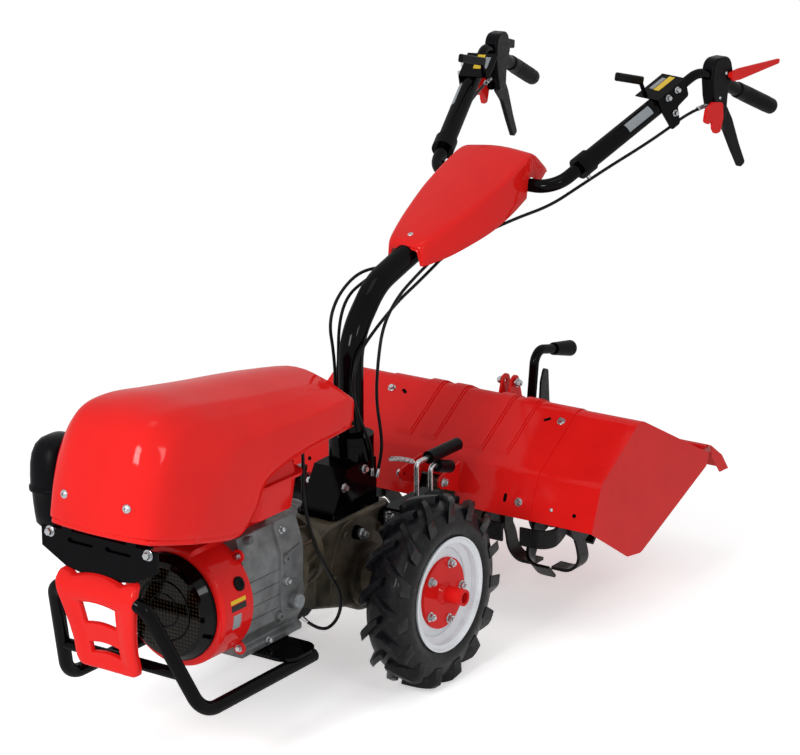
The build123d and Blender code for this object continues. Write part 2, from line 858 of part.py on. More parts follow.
# The post under the cover's screw, cut to the cover's inside.
post_base = column_last + column_run * 60
with BuildPart() as cover_post:
    add(rod(post_base + Vector(0, 0, column_d / 2 - 2), post_base + Vector(0, 0, 60), 12))
    add(column_cover_blank(column_cover_wall + seat_gap), mode=Mode.INTERSECT)
with BuildPart() as column:
    add(column_tube)
    with BuildSketch(plan.offset(base_top)):
        with Locations((0, column_y)):
            Circle(turret_d / 2)
    extrude(amount=20)
    add(cover_post.part)
save("column", column.part)

stem_corner = at(178, crossbar_y, crossbar_z)
collar_point = at(208, 741, 889)
stem_run = (collar_point - stem_corner).normalized()
collar_along = (collar_point - stem_corner).length
crossbar_right = Vector(-stem_corner.X, stem_corner.Y, stem_corner.Z)
stem_run_right = Vector(-stem_run.X, stem_run.Y, stem_run.Z)
socket = 120.0             # how far the crossbar goes into the stem
crossbar_tube = bent_tube(
    [
        stem_corner + stem_run * (collar_along + socket),
        stem_corner,
        crossbar_right,
        crossbar_right + stem_run_right * (collar_along + socket),
    ],
    [70, 70],
    crossbar_d,
    crossbar_d - 6,
)
save("crossbar", crossbar_tube)

handle_corner = at(316, 1108, 1088)
grip_start = at(340, 1252, 1022)
grip_end = at(370, 1434, 939)
stem_length = 354.0
stem_start = stem_corner + stem_run * (collar_along - 24)
stem_end = stem_start + stem_run * stem_length
stem_plane = Plane(origin=stem_start, z_dir=stem_run)
with BuildPart() as left_stem:
    with BuildSketch(stem_plane):
        Circle(stem_d / 2)
    extrude(amount=stem_length)
    with BuildSketch(stem_plane):
        Circle(stem_d / 2 + 5)
    extrude(amount=42)
    with BuildSketch(stem_plane):
        Circle(crossbar_d / 2 + shaft_gap)
    extrude(amount=socket + 24 + seat_gap, mode=Mode.SUBTRACT)
    with BuildSketch(stem_plane):
        Circle(handle_d / 2 + shaft_gap)
    extrude(amount=stem_length, mode=Mode.SUBTRACT)
with BuildPart() as handlebar_stems:
    add(left_stem.part)
    mirror(about=Plane.YZ)
save("handlebar_stems", handlebar_stems.part)

stem_axis_end = stem_start + stem_run * (stem_length - 60)
corner_along = (handle_corner - stem_start).dot(stem_run)
handle_bend = stem_start + stem_run * corner_along
grip_run = (grip_end - handle_bend).normalized()
tube_corners = [stem_axis_end, handle_bend, grip_end - grip_run * 6]
left_tube = bent_tube(tube_corners, [70], handle_d, handle_d - 5)
with BuildPart() as handle_tubes:
    add(left_tube)
    mirror(about=Plane.YZ)
save("handle_tubes", handle_tubes.part)

grip_length = 176.0
grip_plane = Plane(origin=grip_end - grip_run * grip_length, z_dir=grip_run)
with BuildPart() as hand_grips:
    with BuildSketch(grip_plane):
        Circle(grip_d / 2)
    extrude(amount=grip_length)
    fillet(hand_grips.edges().filter_by(GeomType.CIRCLE), 5)
    with BuildSketch(grip_plane):
        Circle(handle_d / 2 + shaft_gap)
    extrude(amount=grip_length - 6 + seat_gap, mode=Mode.SUBTRACT)
    mirror(about=Plane.YZ)
save("hand_grips", hand_grips.part)

# The hand controls stand in a plane turned out with the grips, about head_y on the tube.
head_y = 1190.0
head_half = 19.0
head_neck_d = 36.0
lever_half = 6.0
hand_turn = math.atan2(grip_run.X, grip_run.Y)
hand_along = Vector(math.sin(hand_turn), math.cos(hand_turn), 0)
hand_out = Vector(math.cos(hand_turn), -math.sin(hand_turn), 0)
head_back = (grip_end.Y - at(0, head_y, 0).Y) / grip_run.Y
head_middle = grip_end - grip_run * head_back


def hand_plane(out):
    """The left hand controls' plane, out from the tube: local (y, z) of the tube's own line."""
    level = Vector(head_middle.X, head_middle.Y, axle_z)
    origin = level - hand_along * head_y + hand_out * out
    return Plane(origin=origin, x_dir=hand_along, z_dir=hand_out)


with BuildPart() as control_heads:
    with BuildSketch(hand_plane(-head_half)):
        with BuildLine():
            FilletPolyline(
                (1144, 1052),
                (1150, 1104),
                (1222, 1106),
                (1238, 1052),
                (1216, 1006),
                (1212, 948),
                (1168, 948),
                (1150, 1006),
                radius=[12, 30, 30, 20, 24, 8, 8, 24],
                close=True,
            )
        make_face()
    extrude(amount=2 * head_half)
    fillet(control_heads.faces().sort_by(Axis.X)[-1].edges(), 6)
    fillet(control_heads.faces().sort_by(Axis.X)[0].edges(), 6)
    # The neck that carries the grip's collar.
    with BuildSketch(Plane(origin=head_middle, z_dir=grip_run)):
        Circle(head_neck_d / 2)
    extrude(amount=head_back - grip_length - seat_gap)
    with BuildSketch(Plane(origin=handle_bend, z_dir=grip_run)):
        Circle(handle_d / 2 + shaft_gap)
    extrude(amount=200, mode=Mode.SUBTRACT)
    # The slot the hand lever swings in.
    with BuildSketch(hand_plane(-lever_half - seat_gap)):
        with Locations((1200, 964)):
            Rectangle(80, 70)
    extrude(amount=2 * (lever_half + seat_gap), mode=Mode.SUBTRACT)
    mirror(about=Plane.YZ)
save("control_heads", control_heads.part)

with BuildPart() as hand_levers:
    with BuildSketch(hand_plane(-lever_half)):
        with BuildLine():
            FilletPolyline(
                (1184, 996),
                (1216, 988),
                (1254, 934),
                (1288, 862),
                (1318, 808),
                (1296, 798),
                (1262, 848),
                (1222, 912),
                (1184, 944),
                radius=[6, 16, 60, 90, 7, 7, 90, 60, 6],
                close=True,
            )
        make_face()
    extrude(amount=2 * lever_half)
    mirror(about=Plane.YZ)
save("hand_levers", hand_levers.part)

# The sheet bracket clamped on each stem: a top plate that carries a small lever, and a
# cheek on its outer edge with a leg below.
stem_up = (Vector(0, 0, 1) - stem_run * stem_run.Z).normalized()
plate_sheet = 3.0
plate_length = 104.0
plate_width = 84.0
plate_middle = stem_end - stem_run * 20 + stem_up * (stem_d / 2 + seat_gap)
plate_plane = Plane(origin=plate_middle, x_dir=stem_run, z_dir=stem_up)
stem_out = stem_run.cross(stem_up)
cheek_out = stem_d / 2 + seat_gap
cheek_plane = Plane(origin=plate_middle + stem_out * cheek_out, x_dir=stem_run, z_dir=stem_out)
with BuildPart() as control_plates:
    with BuildSketch(plate_plane):
        with Locations((0, plate_width / 2 - cheek_out - plate_sheet)):
            Rectangle(plate_length, plate_width)
    extrude(amount=plate_sheet)
    with BuildSketch(cheek_plane):
        with BuildLine():
            FilletPolyline(
                (-plate_length / 2, plate_sheet),
                (plate_length / 2, plate_sheet),
                (plate_length / 2 - 8, -44),
                (0, -50),
                (-10, -94),
                (-42, -94),
                (-plate_length / 2, -40),
                radius=[1, 1, 8, 8, 8, 8, 8],
                close=True,
            )
        make_face()
    extrude(amount=plate_sheet)
    mirror(about=Plane.YZ)
save("control_plates", control_plates.part)

cover_form = column_cover_blank(0)
cover_hollow = column_cover_blank(column_cover_wall)
with BuildPart() as column_cover:
    add(cover_form)
    add(cover_hollow, mode=Mode.SUBTRACT)
    # The mouth the column comes in by, and the arch each side of the crossbar.
    add(bent_tube(column_corners, column_bends, column_d + 2 * cover_gap), mode=Mode.SUBTRACT)
    with BuildSketch(side.offset(-200)):
        with Locations((crossbar_y, crossbar_z)):
            Circle(crossbar_d / 2 + 6)
        with Locations((crossbar_y + 10, crossbar_z - 40)):
            Rectangle(crossbar_d + 32, 80)
    extrude(amount=400, mode=Mode.SUBTRACT)
save("column_cover", column_cover.part)

# ---------------------------------------------------------------- small controls
with BuildPart() as safety_latches:
    with BuildSketch(hand_plane(head_half + seat_gap)):
        with BuildLine():
            FilletPolyline(
                (1180, 990),
                (1140, 996),
                (1112, 980),
                (1106, 950),
                (1122, 940),
                (1136, 958),
                (1142, 926),
                (1152, 912),
                (1172, 914),
                (1184, 950),
                radius=[8, 14, 12, 7, 6, 6, 10, 8, 8, 14],
                close=True,
            )
        make_face()
    extrude(amount=9)
    mirror(about=Plane.YZ)
save("safety_latches", safety_latches.part)

with BuildPart() as thumb_lever:
    with BuildSketch(hand_plane(head_half + 5)):
        with BuildLine():
            FilletPolyline(
                (1214, 1066),
                (1216, 1040),
                (1250, 1040),
                (1422, 1060),
                (1426, 1072),
                (1246, 1070),
                radius=[8, 8, 8, 4, 4, 8],
                close=True,
            )
        make_face()
    extrude(amount=6)
    # Its pivot boss.
    with BuildSketch(hand_plane(head_half + seat_gap)):
        with Locations((1218, 1056)):
            Circle(8)
    extrude(amount=6 - seat_gap)
save("thumb_lever", thumb_lever.part)

with BuildPart() as left_throttle:
    with BuildSketch(hand_plane(head_half + seat_gap)):
        with BuildLine():
            FilletPolyline(
                (1196, 1086),
                (1196, 1062),
                (1256, 1058),
                (1278, 1044),
                (1350, 1034),
                (1352, 1056),
                (1284, 1074),
                (1258, 1072),
                radius=[8, 8, 10, 10, 5, 5, 10, 10],
                close=True,
            )
        make_face()
    extrude(amount=7)
save("throttle_lever", mirror(left_throttle.part, about=Plane.YZ))

# Each small lever: a neck up from its plate and a paddle that points forward.
neck_foot = plate_middle + stem_up * (plate_sheet + seat_gap) - stem_run * 36 - stem_out * 38
neck_top = neck_foot + stem_up * 38
paddle_run = Vector(-5, -136, 32).normalized()
paddle_plane = Plane(origin=neck_top - paddle_run * 8, x_dir=paddle_run.cross(Vector(0, 0, 1)), z_dir=paddle_run)
with BuildPart() as small_levers:
    add(rod(neck_foot, neck_top, 11))
    with BuildSketch(paddle_plane):
        RectangleRounded(13, 22, 5)
    extrude(amount=124)
    fillet(small_levers.faces().sort_by(Axis.Y)[0].edges(), 5)
    mirror(about=Plane.YZ)
save("small_levers", small_levers.part)

# ---------------------------------------------------------------- cables
left_cable = [
    at(38, 348, 700.4),
    at(46, 410, 722),
    at(74, 474, 744),
    at(120, 560, 773),
    at(170, 640, 796),
    at(206, 711, 833),
    at(246, 800, 876),
    at(281, 902, 914),
    at(300, 996, 944),
    at(314, 1080, 974),
    hand_plane(0).from_local_coords((1153.6, 985, 0)),
]
with BuildPart() as handlebar_cables:
    add(cable(left_cable))
    mirror(about=Plane.YZ)
save("handlebar_cables", handlebar_cables.part)

column_routes = [
    [
        (-38, 347, 700),
        (-40, 290, 688),
        (-43, 215, 700),
        (-45, 140, 706),
        (-46, 82, 692),
        (-48, 30, 656),
        (-48, 4, 604),
        (-44, 16, 534),
        (-44, 24, 450),
        (-62, 24, 370),
        (-62, 24, 300),
        (-52.4, 24, 240),
    ],
    [
        (-41, 380, 750),
        (-43, 314, 713),
        (-51, 232, 688),
        (-55, 157, 675),
        (-58, 91, 652),
        (-62, 62, 590),
        (-62, 60, 480),
        (-66, 50, 372),
        (-64, 46, 300),
        (-52.4, 46, 236),
    ],
    [
        (38, 347, 700),
        (38, 259, 667),
        (38, 161, 636),
        (38, 40, 574),
        (38, -13, 530),
        (40, -28, 440),
        (62, 0, 352),
        (62, 24, 296),
        (52.4, 34, 240),
    ],
    [
        (41, 380, 750),
        (43, 314, 713),
        (49, 232, 690),
        (54, 140, 656),
        (57, 75, 600),
        (61, 48, 520),
        (61, 40, 427),
        (64, 58, 340),
        (62, 62, 286),
        (52.4, 54, 230),
    ],
]
with BuildPart() as column_cables:
    for route in column_routes:
        add(cable([at(*point) for point in route]))
save("column_cables", column_cables.part)

engine_route = [
    (139.5, -362, 440),
    (139.5, -359.7, 386),
    (139.5, -363, 308),
    (140, -325, 196),
    (140, -262, 97),
    (140, -212, 30),
    (138, -228, -28),
    (130, -288, -40),
    (107, -331.6, 10),
]
with BuildPart() as engine_cable:
    add(cable([at(*point) for point in engine_route]))
save("engine_cable", engine_cable.part)

# ---------------------------------------------------------------- gear selector
selector_x = 100.0
selector_d = 12.0
# Each lever: (y of its upright, foot z, z of its bend, end y, end z).
selector_levers = [
    (155, 156, 246, 335, 246),
    (216, 156, 224, 301, 197),
]
with BuildPart() as selector_bracket:
    with BuildSketch(side.offset(gearbox_half)):
        with Locations((95, 128)):
            Rectangle(70, 56)
    extrude(amount=6)
    with BuildSketch(plan.offset(150)):
        with Locations((selector_x - 9, 148)):
            Rectangle(54, 176)
    extrude(amount=6)
save("selector_bracket", selector_bracket.part)

selector_inset = 6.0       # how far a lever's end stops short of its grip's end
with BuildPart() as selector_rods:
    for upright_y, foot, bend_z, end_y, end_z in selector_levers:
        bend = at(selector_x, upright_y, bend_z)
        tip = at(selector_x, end_y, end_z)
        run = (tip - bend).normalized()
        corners = [at(selector_x, upright_y, foot), bend, tip - run * selector_inset]
        add(bent_tube(corners, [12], selector_d))
save("selector_rods", selector_rods.part)

selector_grip_d = 32.0
with BuildPart() as selector_grips:
    for (upright_y, _, bend_z, end_y, end_z), grip in zip(selector_levers, (130, 62)):
        tip = at(selector_x, end_y, end_z)
        run = (tip - at(selector_x, upright_y, bend_z)).normalized()
        with BuildSketch(Plane(origin=tip, z_dir=run)):
            Circle(selector_grip_d / 2)
        extrude(amount=-grip)
        with BuildSketch(Plane(origin=tip - run * selector_inset, z_dir=run)):
            Circle(selector_d / 2 + shaft_gap)
        extrude(amount=-grip, mode=Mode.SUBTRACT)
save("selector_grips", selector_grips.part)

# ---------------------------------------------------------------- tiller
case_half = 42.0
neck_start = gearbox_rear + pto_flange_t
neck_end = 430.0
with BuildPart() as tiller_case:
    with BuildSketch(front.offset(-neck_start)):
        with Locations((0, pto_z)):
            Circle(pto_flange_d / 2)
    extrude(amount=-16)
    with BuildSketch(front.offset(-neck_start - 16)):
        with Locations((0, pto_z)):
            Circle(50)
    extrude(amount=neck_start + 16 - neck_end)
    with BuildSketch(side.offset(-case_half)):
        with BuildLine():
            FilletPolyline(
                (neck_end - 20, 112),
                (520, 122),
                (666, 60),
                (666, -16),
                (620, -52),
                (570, -52),
                (neck_end - 20, -32),
                radius=[8, 60, 40, 30, 24, 24, 8],
                close=True,
            )
        make_face()
    extrude(amount=2 * case_half)
    with BuildSketch(side.offset(-200)):
        with Locations((rotor_y, rotor_z)):
            Circle(tine_shaft_d / 2 + 0.5)
    extrude(amount=400, mode=Mode.SUBTRACT)
save("tiller_case", tiller_case.part)

# The rotor: curved blades stand on round flanges and their feet turn along the shaft.
blade_t = 8.0
blade_bend = 50.0          # bend radius between a blade's arm and its foot
foot_reach = 84.0          # how far a foot's end stands from its arm
flange_disc_r = 62.0
flange_disc_t = 8.0
with BuildPart() as tine_shaft:
    with BuildSketch(side.offset(-rotor_flanges[-1][0] - 14)):
        with Locations((rotor_y, rotor_z)):
            Circle(tine_shaft_d / 2)
    extrude(amount=2 * (rotor_flanges[-1][0] + 14))
    for flange, turned in rotor_flanges:
        for out in (1, -1):
            with BuildSketch(side.offset(out * flange)):
                with Locations((rotor_y, rotor_z)):
                    Circle(flange_disc_r)
            extrude(amount=-out * turned * flange_disc_t)
save("tine_shaft", tine_shaft.part)


def blade(turned):
    """One blade about the origin: its arm stands up +Z at x = 0 and its foot turns to x * turned > 0."""
    tip = rotor_r - 2
    with BuildPart() as piece:
        # Along the shaft: the arm, the bend and the foot, as a strip.
        with BuildSketch(Plane(origin=(0, 60, 0), x_dir=(turned, 0, 0), z_dir=(0, -turned, 0))):
            with BuildLine():
                Polyline((0, tip - blade_bend), (0, 28), (blade_t, 28), (blade_t, tip - blade_bend))
                RadiusArc((blade_t, tip - blade_bend), (blade_bend, tip - blade_t), blade_bend - blade_t)
                Polyline((blade_bend, tip - blade_t), (foot_reach, tip - blade_t), (foot_reach, tip), (blade_bend, tip))
                RadiusArc((blade_bend, tip), (0, tip - blade_bend), -blade_bend)
            make_face()
        extrude(amount=turned * 120)
        # Along the travel: the root, the waist and the foot swept back.
        with BuildSketch(Plane(origin=(-100, 0, 0), x_dir=(0, 1, 0), z_dir=(1, 0, 0))):
            with BuildLine():
                outline = Polyline((-20, 24), (20, 24), (21, 60))
                rear = RadiusArc(outline @ 1, (2, rotor_r), 150)
                heel = Line(rear @ 1, (-46, rotor_r))
                front_edge = RadiusArc(heel @ 1, (-19, 60), -150)
                Line(front_edge @ 1, outline @ 0)
            make_face()
        extrude(amount=200, mode=Mode.INTERSECT)
    return piece.part


blade_kinds = {1: blade(1), -1: blade(-1)}
with BuildPart() as tine_blades:
    for number, (flange, turned) in enumerate(rotor_flanges):
        for out in (1, -1):
            for count in range(tines_per_flange):
                turn = 360 / tines_per_flange * (count + number / 2) + (20 if out < 0 else 0)
                place = Location(at(out * flange, rotor_y, rotor_z), (turn, 0, 0))
                add(blade_kinds[out * turned].moved(place))
save("tine_blades", tine_blades.part)

# Side outline of the hood's top from its low front edge to its rear edge: (y, z).
hood_line = [(385, 66), (427, 178), (618, 300), (985, 114)]
hood_bends = [30.0, 44.0]  # outside bend radii at its crease and its ridge
rib_middles = (72.0, 145.0)
# Each rib is two steps: (half its width, how far it stands out).
rib_steps = [(24.0, 2.5), (18.0, 5.0)]


def beside(points, distance):
    """An open line of points moved square to itself by distance, with mitred corners."""
    normals = []
    for (y0, z0), (y1, z1) in zip(points, points[1:]):
        length = math.hypot(y1 - y0, z1 - z0)
        normals.append(((z0 - z1) / length, (y1 - y0) / length))
    moved = []
    for number, (y, z) in enumerate(points):
        before = normals[max(number - 1, 0)]
        after = normals[min(number, len(normals) - 1)]
        share = 1 + before[0] * after[0] + before[1] * after[1]
        moved.append((
            y + distance * (before[0] + after[0]) / share,
            z + distance * (before[1] + after[1]) / share,
        ))
    return moved


def sheet_line(lowered):
    """The closed side outline of a bent sheet that lies lowered under the hood's outside."""
    top_radii = [bend - lowered for bend in hood_bends]
    low_radii = [bend - lowered - hood_sheet for bend in hood_bends]
    upper = FilletPolyline(*beside(hood_line, -lowered), radius=top_radii)
    lower = FilletPolyline(*beside(hood_line, -lowered - hood_sheet), radius=low_radii)
    Line(upper @ 1, lower @ 1)
    Line(lower @ 0, upper @ 0)


front_slope = (hood_line[2][1] - hood_line[1][1]) / (hood_line[2][0] - hood_line[1][0])
rear_slope = (hood_line[3][1] - hood_line[2][1]) / (hood_line[3][0] - hood_line[2][0])
rib_front = (452, hood_line[1][1] + front_slope * (452 - hood_line[1][0]))
rib_rear = (905, hood_line[2][1] + rear_slope * (905 - hood_line[2][0]))
rib_line = [rib_front, hood_line[2], rib_rear]
lug_x = 55.0               # the lugs' inner faces
lug_pin = (331, 140)
with BuildPart() as tiller_hood:
    with BuildSketch(side.offset(-centre_half)):
        with BuildLine():
            sheet_line(0)
        make_face()
    extrude(amount=2 * centre_half)
    with BuildSketch(front.offset(-300)):
        with Locations((0, pto_z)):
            Rectangle(110, 200)
    extrude(amount=-110, mode=Mode.SUBTRACT)
    # The pressed ribs, from the crease over the ridge.
    for middle in rib_middles:
        for half, height in rib_steps:
            with BuildSketch(side.offset(middle - half)):
                with BuildLine():
                    raised = beside(rib_line, height)
                    step = (raised[0][0] + 3 * height, raised[0][1] + 3 * height * front_slope)
                    drop = (raised[2][0] - 3 * height, raised[2][1] - 3 * height * rear_slope)
                    upper = FilletPolyline(step, raised[1], drop, radius=hood_bends[1] + height)
                    lower = FilletPolyline(*beside(rib_line, -1), radius=hood_bends[1] - 1)
                    Line(upper @ 1, lower @ 1)
                    Line(lower @ 0, upper @ 0)
                make_face()
            extrude(amount=2 * half)
    # The lugs that tie it to the tiller's neck.
    with BuildSketch(side.offset(lug_x)):
        with BuildLine():
            Polyline((lug_pin[0], 158), (412, 172), (398, 96), (lug_pin[0], 122), close=True)
        make_face()
        with Locations(lug_pin):
            Circle(18)
            Circle(6, mode=Mode.SUBTRACT)
    extrude(amount=6)
    mirror(about=Plane.YZ)
save("tiller_hood", tiller_hood.part)

wing_drop = hood_sheet + seat_gap
wing_line = beside(hood_line, -wing_drop)
wing_bends = [bend - wing_drop for bend in hood_bends]
with BuildPart() as hood_wings:
    with BuildSketch(side.offset(centre_half - hood_lap)):
        with BuildLine():
            sheet_line(wing_drop)
        make_face()
    extrude(amount=hood_half - centre_half + hood_lap)
    with BuildSketch(side.offset(hood_half - hood_sheet)):
        with BuildLine():
            FilletPolyline(
                *wing_line,
                (972, 80),
                (635, -57),
                (568, -47),
                radius=[2, *wing_bends, 2, 8, 40, 12],
                close=True,
            )
        make_face()
    extrude(amount=hood_sheet)
    mirror(about=Plane.YZ)
save("hood_wings", hood_wings.part)

carry_plate_t = 8.0
carry_line = beside(hood_line, -hood_sheet - seat_gap)
with BuildPart() as hood_bracket:
    with BuildSketch(side.offset(case_half)):
        with BuildLine():
            FilletPolyline(
                (450, 40),
                (450, carry_line[1][1] + front_slope * (450 - carry_line[1][0])),
                carry_line[2],
                (680, carry_line[2][1] + rear_slope * (680 - carry_line[2][0])),
                (672, 150),
                (560, 60),
                radius=[4, 4, hood_bends[1] - hood_sheet - seat_gap, 4, 20, 20],
                close=True,
            )
        make_face()
    extrude(amount=carry_plate_t)
    mirror(about=Plane.YZ)
save("hood_bracket", hood_bracket.part)

skid_half = 20.0
foot_t = 6.0
with BuildPart() as depth_skid:
    with BuildSketch(side.offset(-skid_half)):
        with BuildLine():
            Polyline(
                (585, -52 - seat_gap),
                (615, -52 - seat_gap),
                (615, -axle_z + foot_t),
                (585, -axle_z + foot_t),
                close=True,
            )
        make_face()
    extrude(amount=2 * skid_half)
    with BuildSketch(plan.offset(-axle_z)):
        with Locations((0, 600)):
            RectangleRounded(50, 90, 10)
    extrude(amount=foot_t)
save("depth_skid", depth_skid.part)

def on_hood(y, lift=0.0):
    """A side point on the hood's rear slope, raised by lift."""
    return (y, hood_line[2][1] + rear_slope * (y - hood_line[2][0]) + lift)


# The hitch on the hood's rear slope: two rounded plates on a foot, with a pin hole.
clevis_half = 17.0
clevis_plate = 6.0
clevis_pin = (736, 290)
with BuildPart() as hitch_clevis:
    for x in (-clevis_half, clevis_half - clevis_plate):
        with BuildSketch(side.offset(x)):
            with BuildLine():
                Polyline(
                    on_hood(706, seat_gap),
                    (718, 296),
                    (754, 296),
                    on_hood(778, seat_gap),
                    close=True,
                )
            make_face()
            with Locations(clevis_pin):
                Circle(19)
                Circle(6, mode=Mode.SUBTRACT)
        extrude(amount=clevis_plate)
    with BuildSketch(side.offset(-clevis_half)):
        with BuildLine():
            Polyline(
                on_hood(700, seat_gap),
                on_hood(700, 6),
                on_hood(784, 6),
                on_hood(784, seat_gap),
                close=True,
            )
        make_face()
    extrude(amount=2 * clevis_half)
save("hitch_clevis", hitch_clevis.part)

# The depth lever's notched plate.
with BuildPart() as depth_quadrant:
    with BuildSketch(side.offset(16)):
        with BuildLine():
            FilletPolyline(
                on_hood(852, seat_gap),
                (858, 262),
                (872, 296),
                (892, 288),
                on_hood(904, seat_gap),
                radius=[1, 6, 8, 8, 1],
                close=True,
            )
        make_face()
        for notch in range(4):
            with Locations((899 + 1.5 * notch, 268 - 18 * notch)):
                Circle(4, mode=Mode.SUBTRACT)
    extrude(amount=6)
save("depth_quadrant", depth_quadrant.part)

lever_d = 25.0
lever_grip = 92.0
lever_end = at(0, 1042, 307)
lever_knee = at(0, 860, 346)
lever_foot_y = 842.0
lever_corners = [at(0, lever_foot_y, on_hood(lever_foot_y)[1] + 5), lever_knee, lever_end]
lever_run = (lever_end - lever_knee).normalized()
with BuildPart() as flared_grip:
    with BuildSketch(Plane(origin=lever_end - lever_run * lever_grip, z_dir=lever_run)):
        Circle(17)
    extrude(amount=lever_grip, taper=-3)
    fillet(flared_grip.faces().sort_by(Axis.Y)[-1].edges(), 6)
with BuildPart() as depth_lever:
    add(bent_tube(lever_corners[:-1] + [lever_end - lever_run * 10], [36], lever_d))
    add(flared_grip.part)
    with BuildSketch(side.offset(-18)):
        with BuildLine():
            Polyline(
                on_hood(lever_foot_y - 22, seat_gap),
                (lever_foot_y - 22, on_hood(lever_foot_y)[1] + 14),
                (lever_foot_y + 20, on_hood(lever_foot_y)[1] + 14),
                on_hood(lever_foot_y + 20, seat_gap),
                close=True,
            )
        make_face()
    extrude(amount=26)
save("depth_lever", depth_lever.part)

flap_half = 450.0
flap_pin = (994, 120)
flap_pin_d = 8.0
knuckle_d = 13.0
# Knuckles as (near edge, far edge) out from the middle, the same on both sides.
flap_knuckles = [(0, 60), (300, 440)]
hood_knuckles = [(70, 290)]
flap_line = [(1004, 126), (1067, 83), (1104, 37)]
with BuildPart() as rear_flap:
    with BuildSketch(side.offset(-flap_half)):
        with BuildLine():
            Polyline(*flap_line, *reversed(beside(flap_line, -hood_sheet)), close=True)
        make_face()
    extrude(amount=2 * flap_half)
    with BuildSketch(side.offset(flap_half)):
        with BuildLine():
            Polyline(*flap_line, (1059, 38), (1010, 92), close=True)
        make_face()
    extrude(amount=-hood_sheet)
    for near, far in flap_knuckles:
        with BuildSketch(side.offset(near)):
            with Locations(flap_pin):
                Circle(knuckle_d / 2)
            with BuildLine():
                Polyline((995, 126), (1006, 126), (1006, 121.5), (997, 115), close=True)
            make_face()
        extrude(amount=far - near)
    mirror(about=Plane.YZ)
    with BuildSketch(side.offset(-flap_half)):
        with Locations(flap_pin):
            Circle(flap_pin_d / 2 + shaft_gap)
    extrude(amount=2 * flap_half, mode=Mode.SUBTRACT)
save("rear_flap", rear_flap.part)

with BuildPart() as flap_hinge:
    for near, far in hood_knuckles:
        with BuildSketch(side.offset(near)):
            with Locations(flap_pin):
                Circle(knuckle_d / 2)
            with BuildLine():
                Polyline(
                    on_hood(950, seat_gap),
                    on_hood(950, seat_gap + 3),
                    (990, 125),
                    flap_pin,
                    on_hood(985, seat_gap),
                    close=True,
                )
            make_face()
        extrude(amount=far - near)
    mirror(about=Plane.YZ)
    with BuildSketch(side.offset(-flap_half + 10)):
        with Locations(flap_pin):
            Circle(flap_pin_d / 2)
    extrude(amount=2 * flap_half - 20)
save("flap_hinge", flap_hinge.part)
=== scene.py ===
"""Finishes and fine pieces of a walking garden tiller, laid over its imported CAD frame.

Points are metres in the row frame: +X is the machine's left, -Y its front, +Z up, and the
ground is Z = 0. Points named "from the axle" are in millimetres from the middle of the axle,
and so are the sizes, profiles and routes of all pieces.
"""

import logging
import math
from dataclasses import dataclass, replace
from enum import Enum
from typing import Iterable, Sequence

import bpy
import numpy as np
from mathutils import Matrix, Vector


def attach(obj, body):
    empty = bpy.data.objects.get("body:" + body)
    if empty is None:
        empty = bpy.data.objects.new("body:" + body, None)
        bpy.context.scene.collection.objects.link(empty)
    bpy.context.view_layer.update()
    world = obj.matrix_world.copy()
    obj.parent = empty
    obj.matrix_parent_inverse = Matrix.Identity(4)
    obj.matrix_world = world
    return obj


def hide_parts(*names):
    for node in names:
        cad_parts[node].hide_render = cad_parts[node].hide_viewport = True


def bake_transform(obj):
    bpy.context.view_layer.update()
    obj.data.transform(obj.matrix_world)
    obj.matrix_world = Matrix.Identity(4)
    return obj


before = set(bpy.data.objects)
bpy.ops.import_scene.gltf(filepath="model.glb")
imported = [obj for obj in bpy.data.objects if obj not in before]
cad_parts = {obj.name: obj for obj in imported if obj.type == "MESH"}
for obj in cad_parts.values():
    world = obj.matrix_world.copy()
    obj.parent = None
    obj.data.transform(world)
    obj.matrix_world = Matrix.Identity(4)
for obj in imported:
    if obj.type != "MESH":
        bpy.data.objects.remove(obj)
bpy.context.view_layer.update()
log = logging.getLogger("tiller")

Point = Sequence[float]
Tree = bpy.types.NodeTree
Socket = bpy.types.NodeSocket

AXLE = (0.0, -255.0, 232.0)
MM = 1e-3
MIRROR = (-1.0, 1.0, 1.0)
LEFT, FORWARD, BACKWARD = (1, 0, 0), (0, -1, 0), (0, 1, 0)
WHITE = (1.0, 1.0, 1.0, 1.0)


class Body(Enum):
    """The rigid bodies of the machine."""

    CHASSIS = "chassis"
    LEFT_WHEEL = "left_wheel"
    RIGHT_WHEEL = "right_wheel"
    HANDLEBAR = "handlebar"


def from_axle(points: Point | Sequence[Point]) -> np.ndarray:
    """One point or an array of points from the axle, in metres in the row frame."""
    return (np.asarray(points, float) + AXLE) / 1000.0


def ramp(value: np.ndarray, low: float, high: float) -> np.ndarray:
    """The share, from 0 to 1, of the way that value has gone from low to high."""
    return np.clip((value - low) / (high - low), 0.0, 1.0)


# ------------------------------------------------------------------ finishes
def linear(code: str) -> tuple[float, float, float, float]:
    """Turns an sRGB colour into a linear one.

    Args:
        code: a hex code such as "#d9251d".

    Returns:
        Red, green, blue and an alpha of 1.
    """
    raw = np.array([int(code[i : i + 2], 16) for i in (1, 3, 5)]) / 255.0
    flat = np.where(raw <= 0.04045, raw / 12.92, ((raw + 0.055) / 1.055) ** 2.4)
    return (*(float(c) for c in flat), 1.0)


def tune(node: bpy.types.Node, settings: dict) -> bpy.types.Node:
    """Sets a node's properties and inputs.

    Args:
        node: the node.
        settings: property names, or input names or numbers, each with its value or the socket
            that feeds it.

    Returns:
        The same node.
    """
    for name, value in settings.items():
        if isinstance(value, Socket):
            node.id_data.links.new(value, node.inputs[name])
        elif isinstance(name, int) or name in node.inputs:
            node.inputs[name].default_value = value
        else:
            setattr(node, name, value)
    return node


def put(tree: Tree, kind: str, settings: dict | None = None) -> bpy.types.Node:
    """Adds a node of a kind to a tree and tunes it."""
    return tune(tree.nodes.new(kind), settings or {})


